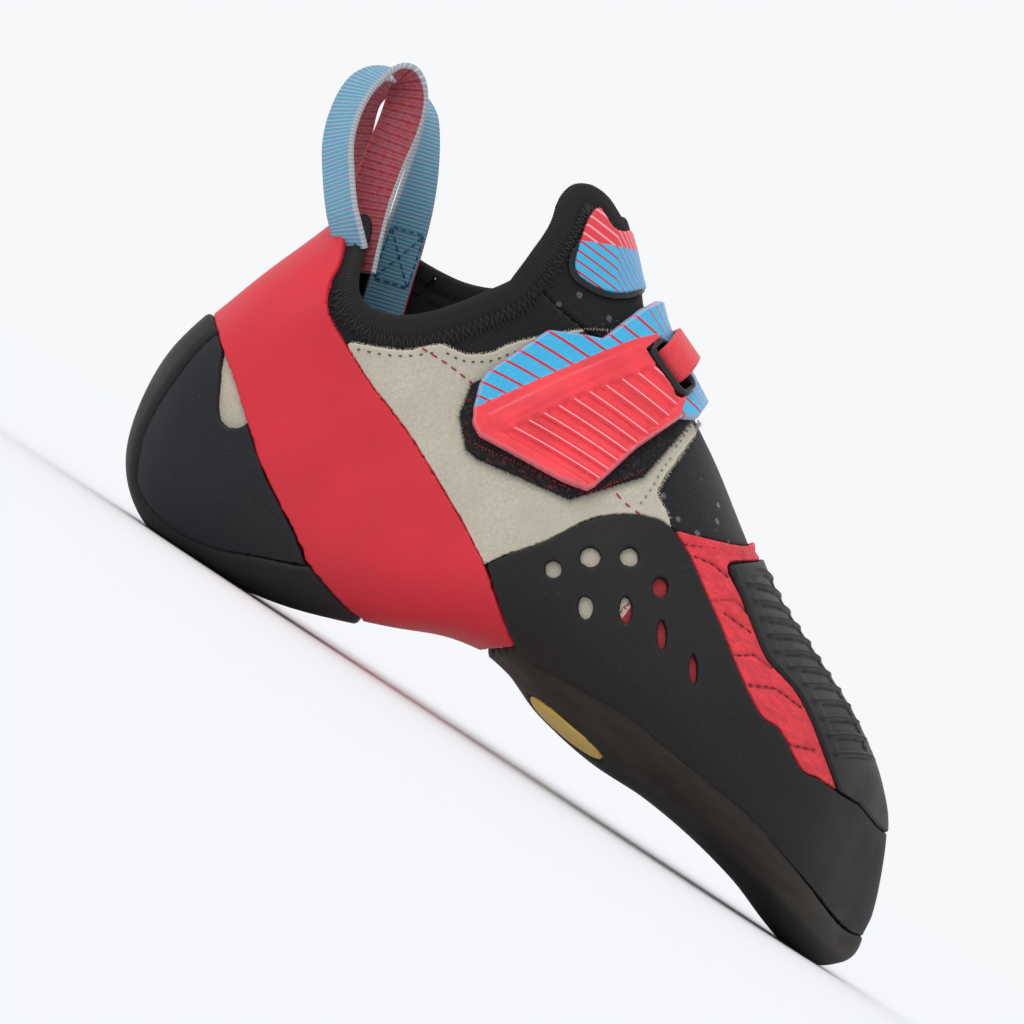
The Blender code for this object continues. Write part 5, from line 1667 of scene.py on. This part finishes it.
def overlock(rows_u, rows_angle, run, steps):
    """Threads of the overlock seam, which hold the tape's lower half down."""
    s = sizes()
    chance = np.random.default_rng(11)
    black = thread_finish("overlock_thread", srgb(38, 38, 42))
    for name, row, every, length, thick, swing in (
        ("overlock_seam", 0.74, 0.85, 3.6, 0.42, 0.30),
        ("overlock_ends", 1.0, 1.25, 1.9, 0.34, 0.35),
    ):
        picks = np.arange(0, len(run), int(every * MM / (run[1] - run[0])))
        i = int(round(row * steps))
        u, angle = rows_u[picks, i], rows_angle[picks, i]
        here = last_surface(u, angle, 0.55 * s.tape_raise)
        above = last_surface(rows_u[picks, i - 3], rows_angle[picks, i - 3], 0.55 * s.tape_raise)
        out = skin_normals(u, angle)
        down = here - above
        width = np.linalg.norm(down, axis=1) * steps / 3
        down = unit(down)
        along = np.cross(out, down)
        turn = swing * np.where(np.arange(len(picks)) % 2, 1, -1) + chance.uniform(
            -0.15, 0.15, len(picks))
        way = down * np.cos(turn)[:, None] + along * np.sin(turn)[:, None]
        wide_enough = width > 0.6 * s.tape
        stitches(name, (here + MIDDLE)[wide_enough], way[wide_enough], out[wide_enough],
                 length * MM, thick * MM, black, "tape", uneven=0.25)


class OBJECT_OT_shoe_tape(PieceOperator):
    """Builds the ribbed tape round the collar"""

    bl_idname = "object.shoe_tape"
    bl_label = "Collar tape"
    builders = (build_tape,)


# Closure

def hook_finish():
    """Black hooks, with red mesh that shows near the pad's lower edge."""
    hooks = Finish("hook_cloth", srgb(24, 24, 26), 0.95)
    loops = hooks.cells(1100)
    red_mesh = hooks.smooth(hooks.noise(700, 3, 0.7), 0.56, 0.66, 0.0, 0.5)
    near_edge = hooks.smooth(hooks.kept("edge"), 0.0012, 0.0030, 1.0, 0.0)
    shade = hooks.mix(hooks.smooth(loops, 0.1, 0.6), srgb(42, 42, 46), srgb(12, 12, 14))
    low = hooks.make("SeparateXYZ", {"Vector": hooks.place()}).outputs[2]
    below = hooks.smooth(low, 0.070, 0.078, 1.0, 0.0)
    amount = hooks.math("MULTIPLY", red_mesh, hooks.math("MULTIPLY", near_edge, below))
    hooks.colour(hooks.mix(amount, shade, srgb(150, 22, 34)))
    hooks.bump(loops, 0.0004, 0.8)
    return hooks


def strap_finish():
    """Moulded red rubber with pale lines in its channels, and blue fields with red lines."""
    c = colours()
    made = Finish("moulded_rubber", tint(c.strap_red, 1), 0.38)
    red = made.smooth(made.kept("red_zone"), -0.00008, 0.00008)
    off = made.off_whole(made.kept("line"))
    in_field = made.smooth(made.kept("channels"), 0.0006, 0.0010)
    pale_line = made.math("MULTIPLY", made.smooth(off, 0.030, 0.048, 1.0, 0.0), in_field)
    red_line = made.smooth(off, 0.070, 0.095, 1.0, 0.0)
    speck = made.smooth(made.noise(1300, 3, 0.7), 0.35, 0.8)
    cloud = made.smooth(made.noise(110, 3, 0.6), 0.3, 0.7)
    blue = made.mix(speck, tint(c.strap_blue, 0.88), tint(c.strap_blue, 1.10))
    blue = made.mix(red_line, blue, tint(c.thread_red, 1.5))
    base = made.mix(cloud, tint(c.strap_red, 0.90), tint(c.strap_red, 1.08))
    base = made.mix(pale_line, base, tint(c.pale, 1))
    worn = made.smooth(made.kept("edge"), 0.0003, 0.0010, 0.35, 0.0)
    made.colour(made.mix(worn, made.mix(red, blue, base), tint(c.pale, 0.9)))
    made.roughness(made.smooth(cloud, 0.0, 1.0, 0.32, 0.48))
    made.bump(made.noise(1500, 2, 0.6), 0.00008, 0.5)
    return made


def build_closure():
    s = sizes()
    pad_shape = polygon(PAD_OUTLINE)
    pad_base = s.suede + 2 * GAP

    def pad_inside(p, u, angle):
        lateral = THROAT_EDGE_LATERAL * BALL_WIDTH - p[..., 1]
        return np.minimum(outline_distance(pad_shape, *side_view(p)), lateral)

    pad = panel("hook_field", pad_inside, pad_base, s.pad)
    dress(pad, hook_finish(), "hooks", "hook_pad")

    strap_base = pad_base + s.pad + GAP
    strap_shape, red_zone = polygon(STRAP_OUTLINE), polygon(STRAP_RED)
    bar, field = polygon(STRAP_BAR), polygon(STRAP_CHANNELS)
    centre, ahead, side, normal = slot_frame(strap_base)

    def strap_inside(p, u, angle):
        x, y, z = np.moveaxis(p, -1, 0)
        flat = outline_distance(strap_shape, x, z) - 0.1 * MM
        away = p - centre
        run, over = away @ ahead, away @ side
        slot = np.maximum(
            np.abs(run) - SLOT_LENGTH / 2 - SLOT_RIM, np.abs(over) - SLOT_HEIGHT / 2 - SLOT_RIM
        )
        return np.minimum(np.minimum(flat, STRAP_EDGE * BALL_WIDTH - y), slot)

    def strap_relief(p, u, angle, depth):
        x, y, z = np.moveaxis(p, -1, 0)
        raised = np.clip(outline_distance(bar, x, z) / (0.6 * MM) + 0.5, 0, 1)
        channel = np.clip(outline_distance(field, x, z) / (0.9 * MM), 0, 1)
        line = strap_lines(x, over_crest(y, z))
        off_line = np.abs(line - np.round(line))
        channel = channel * np.clip((off_line - 0.13) / 0.12, 0, 1)
        blue = np.clip(-outline_distance(red_zone, x, z) / (0.4 * MM) + 0.5, 0, 1)
        ridge = 0.10 * MM * np.clip(1 - off_line / 0.10, 0, 1) * blue
        return 0.15 * MM * raised - 0.85 * MM * channel - 0.80 * MM * blue + ridge - 0.15 * MM

    def strap_fields(p, u, angle, depth):
        x, y, z = np.moveaxis(p, -1, 0)
        return {
            "red_zone": outline_distance(red_zone, x, z),
            "line": strap_lines(x, over_crest(y, z)),
            "channels": outline_distance(field, x, z),
        }

    strap = panel("moulded_strap", strap_inside, strap_base, s.strap, strap_relief, strap_fields)
    dress(strap, strap_finish(), "moulded", "strap")
    build_slot(strap_base, centre, ahead, side, normal)


def over_crest(y, z):
    """Height of a place, counted on across the top of the foot, where it no longer rises."""
    return z + CREST_SLOPE * np.maximum(y + CREST_START, 0)


def strap_lines(x, z):
    """Number of the slanting line at a place seen from the side: whole on a line.

    The lines fall to the right of the tipped shoe, and get steeper towards the toe.
    """
    tilt = math.radians(LINE_TILT)
    dx, dz = x - LINE_START[0] * LENGTH / 100, z - LINE_START[1] * HEIGHT / 100
    right = dx * math.cos(tilt) + dz * math.sin(tilt)
    down = dx * math.sin(tilt) - dz * math.cos(tilt)

    def fall(reach):
        return LINE_SLOPE * reach + LINE_BEND * reach**2 / 2

    number = np.arange(-12, 24)
    marks = number * LINE_STEP[1] - fall(number * LINE_STEP[0])
    return np.interp(down - fall(right), marks[::-1], number[::-1].astype(float))


def slot_frame(strap_base):
    """Middle and directions of the strap's slot."""
    centre = last_surface(*SLOT_PLACE, strap_base)
    ahead = last_surface(SLOT_PLACE[0] + 0.01, SLOT_PLACE[1], strap_base) - centre
    side = last_surface(SLOT_PLACE[0], SLOT_PLACE[1] + 2, strap_base) - centre
    ahead = ahead / np.linalg.norm(ahead)
    normal = np.cross(side, ahead)
    normal /= np.linalg.norm(normal)
    side = np.cross(ahead, normal)
    if side[2] < 0:
        side = -side
    return centre, ahead, side, normal


def build_slot(strap_base, centre, ahead, side, normal):
    s = sizes()
    c = colours()
    count = 48
    turns = np.linspace(0, 2 * math.pi, count, endpoint=False)
    power = 0.35

    def ring(grow, lift):
        cos, sin = np.cos(turns), np.sin(turns)
        run = np.sign(cos) * np.abs(cos) ** power * (SLOT_LENGTH / 2 + grow)
        over = np.sign(sin) * np.abs(sin) ** power * (SLOT_HEIGHT / 2 + grow)
        return centre + np.outer(run, ahead) + np.outer(over, side) + normal * lift + MIDDLE

    top = s.strap + 2 * GAP
    under = -2.2 * MM
    bevel = 0.3 * MM
    profile = [
        (0.0, under), (SLOT_RIM, under), (SLOT_RIM, top - bevel), (SLOT_RIM - bevel, top),
        (bevel, top), (0.0, top - bevel),
    ]
    rings = np.array([ring(grow, lift) for grow, lift in profile])
    points = rings.reshape(-1, 3)
    faces = []
    for i in range(len(profile)):
        k = (i + 1) % len(profile)
        for j in range(count):
            m = (j + 1) % count
            faces.append((i * count + j, i * count + m, k * count + m, k * count + j))
    liner = solid("slot_liner", points, faces, turn_out=True)
    black = Finish("slot_plastic", srgb(16, 16, 17), 0.30)
    black.bump(black.noise(700, 2, 0.5), 0.00005, 0.4)
    dress(liner, black, "liner", "slot_rim")

    over = strap_base + s.strap + s.keeper_thick / 2 + 2 * GAP
    path = [
        last_surface(KEEPER_SPAN, angle, over * share) + ahead * lean * s.keeper
        for angle, share, lean in KEEPER_BENDS
    ]
    middle, wide, run = resampled(path, [ahead] * len(path), 0.4 * MM)
    keeper, _, _ = woven_band(
        "keeper_suede", middle + MIDDLE, wide, run, s.keeper, s.keeper_thick, MM, 0.0, 0.0
    )
    edges = np.repeat(0.003, len(keeper.data.vertices))
    keeper.data.attributes.new("edge", "FLOAT", "POINT").data.foreach_set("value", edges)
    dress(keeper, suede_finish("keeper_suede_red", c.keeper_red, 0.7), "red_suede", "keeper_loop")


class OBJECT_OT_shoe_closure(PieceOperator):
    """Builds the hook pad, the moulded strap, its slot and the keeper"""

    bl_idname = "object.shoe_closure"
    bl_label = "Closure"
    builders = (build_closure,)


def build_print():
    """The printed panel on the tongue and the gloss edge under it."""
    c = colours()
    s = sizes()
    shape = outline(PRINT_SHOWN[:6], PRINT_SHOWN[5:])
    low, high = polygon(PRINT_CHANGE)
    way = (high - low) / np.linalg.norm(high - low)

    def below_tape(p):
        return below_rim(p) - s.tape * rim_share(p[..., 0]) * PIPING

    def inside(p, u, angle):
        return np.minimum(outline_distance(shape, *side_view(p)), below_tape(p))

    def border(p, u, angle):
        x, z = side_view(p)
        skirt = 1.7 * MM * np.clip((0.121 - z) / 0.006, 0.15, 1)
        return np.minimum(outline_distance(shape, x, z) + skirt, below_tape(p))

    def fields(p, u, angle, depth):
        x, y, z = np.moveaxis(p, -1, 0)
        above = (z - low[1]) * way[0] - (x - low[0]) * way[1]
        return {"above": above, "line": strap_lines(x, over_crest(y, z)) * 2.0}

    gloss = panel("print_border", border, GAP, 0.55 * MM)
    dark = Finish("gloss_film", srgb(14, 14, 16), 0.36)
    dark.bump(dark.noise(300, 2, 0.6), 0.0001, 0.4)
    dress(gloss, dark, "print")
    patch = panel("tongue_print", inside, GAP + 0.3 * MM, 0.8 * MM, fields=fields)
    made = Finish("printed_film", tint(c.strap_red, 1), 0.40)
    red = made.smooth(made.kept("above"), -0.0001, 0.0001)
    off = made.off_whole(made.kept("line"))
    line = made.smooth(off, 0.085, 0.125, 1.0, 0.0)
    red_field = made.mix(line, tint(c.strap_red, 0.95), tint(c.pale, 0.95))
    blue_field = made.mix(line, tint(c.strap_blue, 1), tint(c.thread_red, 1.5))
    made.colour(made.mix(red, blue_field, red_field))
    made.bump(made.noise(1200, 2, 0.6), 0.00008, 0.5)
    dress(patch, made, "print", "tongue_patch")


class OBJECT_OT_shoe_print(PieceOperator):
    """Builds the printed panel on the tongue"""

    bl_idname = "object.shoe_print"
    bl_label = "Tongue print"
    builders = (build_print,)


def build_seams():
    """Stitches of the leathers and the loose fibres of their cut edges."""
    s = sizes()
    c = colours()
    heights = {"suede": GAP + s.suede + 0.12 * MM, "microfibre": GAP + s.microfibre - 0.05 * MM}
    for row in SEWING:
        colour = srgb(*row.colour) if row.colour else tint(c.thread_red, 1)
        thread = thread_finish(row.thread, colour)
        for number, line in enumerate(row.lines):
            sewn_line(f"{row.name}_{number + 1}", line, heights[row.slot], thread, row.slot,
                      row.length, row.pitch, row.thick)
    hair = fibre_finish(
        "suede_fibre", tint(c.suede, 1.05), 0.9, tint(c.suede, 0.8), tint(c.suede, 1.2)
    )
    raw_suede = GAP + 0.6 * s.suede
    fringe("torn_edge_fibres", TORN_EDGE, raw_suede, hair, "suede", 1.7, 0.22)
    fringe("top_edge_fibres", QUARTER_TOP[11::-1], raw_suede, hair, "suede", 0.9, 0.3, seed=4)
    pink = fibre_finish(
        "latex_fibre", tint(c.band_red, 1.3), 0.8, tint(c.band_red, 0.9), tint(c.band_red, 1.9)
    )
    fringe("band_edge_fibres", BAND_FRONT[10:2:-1], GAP + 0.8 * s.band, pink, "red_rubber",
           0.7, 0.22, 0.09, seed=5)
    fuzz = fibre_finish(
        "hook_fibre", srgb(26, 26, 28), 0.95, srgb(10, 10, 11), srgb(48, 48, 52)
    )
    around = PAD_OUTLINE[-1:] + PAD_OUTLINE[:7]
    for number, (a, b) in enumerate(zip(around, around[1:])):
        fringe(f"pad_fibres_{number + 1}", [a, b], GAP * 2 + s.suede + 0.6 * s.pad, fuzz, "hooks",
               1.5, 0.16, 0.14, seed=20 + number)
    mesh_red = thread_finish("mesh_thread", srgb(150, 16, 34))
    for number, line in enumerate(PAD_THREADS):
        fringe(f"pad_mesh_{number + 1}", line, GAP * 2 + s.suede + s.pad, mesh_red, "hooks",
               0.9, 0.9, 0.35, seed=30 + number)


class OBJECT_OT_shoe_seams(PieceOperator):
    """Sews the leathers and frays their edges"""

    bl_idname = "object.shoe_seams"
    bl_label = "Seams"
    builders = (build_seams,)


# Stage

def build_stage():
    mesh = bpy.data.meshes.new("floor")
    ends = [(-1, -1), (1, -1), (1, 1), (-1, 1)]
    mesh.from_pydata([(x * FLOOR_REACH, y * FLOOR_REACH, 0) for x, y in ends], [], [(0, 1, 2, 3)])
    floor = bpy.data.objects.new("floor", mesh)
    bpy.context.scene.collection.objects.link(floor)
    pale = Finish("pale_floor", srgb(243, 244, 246), 0.9)
    floor.data.materials.append(pale.material)

    world = bpy.data.worlds.new("studio")
    bpy.context.scene.world = world
    world.use_nodes = True
    nodes, links = world.node_tree.nodes, world.node_tree.links
    back = nodes["Background"]
    back.inputs["Color"].default_value = (*srgb(249, 250, 252), 1)
    way = nodes.new("ShaderNodeSeparateXYZ")
    links.new(nodes.new("ShaderNodeTexCoord").outputs["Generated"], way.inputs[0])
    glow = nodes.new("ShaderNodeMapRange")
    for socket, value in zip(glow.inputs[1:5], BACKDROP):
        socket.default_value = value
    links.new(way.outputs[1], glow.inputs[0])
    links.new(glow.outputs[0], back.inputs["Strength"])
    for light in LIGHTS:
        sun = bpy.data.lights.new(light.name, "SUN")
        sun.energy = light.strength
        sun.angle = math.radians(light.spread)
        lamp = bpy.data.objects.new(light.name, sun)
        lamp.rotation_euler = (-Vector(light.place)).to_track_quat("-Z", "Y").to_euler()
        bpy.context.scene.collection.objects.link(lamp)

    elevation, azimuth = math.radians(CAMERA_ELEVATION), math.radians(CAMERA_AZIMUTH)
    aim = Vector(CAMERA_AIM)
    away = Vector((
        math.sin(azimuth) * math.cos(elevation), -math.cos(azimuth) * math.cos(elevation),
        math.sin(elevation),
    ))
    camera = bpy.data.objects.new("camera", bpy.data.cameras.new("camera"))
    camera.data.sensor_width = SENSOR_WIDTH
    camera.data.lens = SENSOR_WIDTH * CAMERA_DISTANCE / VIEW_WIDTH
    turn = (-away).to_track_quat("-Z", "Y").to_matrix()
    turn = turn @ Matrix.Rotation(math.radians(CAMERA_ROLL), 3, "Z")
    camera.matrix_world = Matrix.Translation(aim + away * CAMERA_DISTANCE) @ turn.to_4x4()
    camera.data.clip_end = CAMERA_REACH
    bpy.context.scene.collection.objects.link(camera)
    bpy.context.scene.camera = camera
    bpy.context.scene.view_settings.view_transform = "Standard"


class OBJECT_OT_shoe_stage(PieceOperator):
    """Sets the floor, the lights and the camera"""

    bl_idname = "object.shoe_stage"
    bl_label = "Stage"
    builders = (build_stage,)


STEPS = (
    OBJECT_OT_shoe_stage, OBJECT_OT_shoe_body, OBJECT_OT_shoe_insole, OBJECT_OT_shoe_sides,
    OBJECT_OT_shoe_rubber, OBJECT_OT_shoe_tape, OBJECT_OT_shoe_loops, OBJECT_OT_shoe_closure,
    OBJECT_OT_shoe_print, OBJECT_OT_shoe_seams,
)


class VIEW3D_PT_climbing_shoe(bpy.types.Panel):
    """Lists the steps that build the shoe"""

    bl_label = "Climbing Shoe"
    bl_space_type = "VIEW_3D"
    bl_region_type = "UI"
    bl_category = "Climbing Shoe"

    def draw(self, context):
        for step in STEPS:
            self.layout.operator(step.bl_idname)
        for group in (context.scene.shoe_sizes, context.scene.shoe_colours):
            box = self.layout.box()
            for key in group.__annotations__:
                box.prop(group, key)


CLASSES = (ShoeSizes, ShoeColours, *STEPS, VIEW3D_PT_climbing_shoe)


def register():
    for kind in CLASSES:
        bpy.utils.register_class(kind)
    bpy.types.Scene.shoe_sizes = bpy.props.PointerProperty(type=ShoeSizes)
    bpy.types.Scene.shoe_colours = bpy.props.PointerProperty(type=ShoeColours)


def unregister():
    del bpy.types.Scene.shoe_colours
    del bpy.types.Scene.shoe_sizes
    for kind in reversed(CLASSES):
        bpy.utils.unregister_class(kind)


def main():
    register()
    for step in STEPS:
        group, name = step.bl_idname.split(".")
        getattr(getattr(bpy.ops, group), name)()


if __name__ == "__main__":
    main()
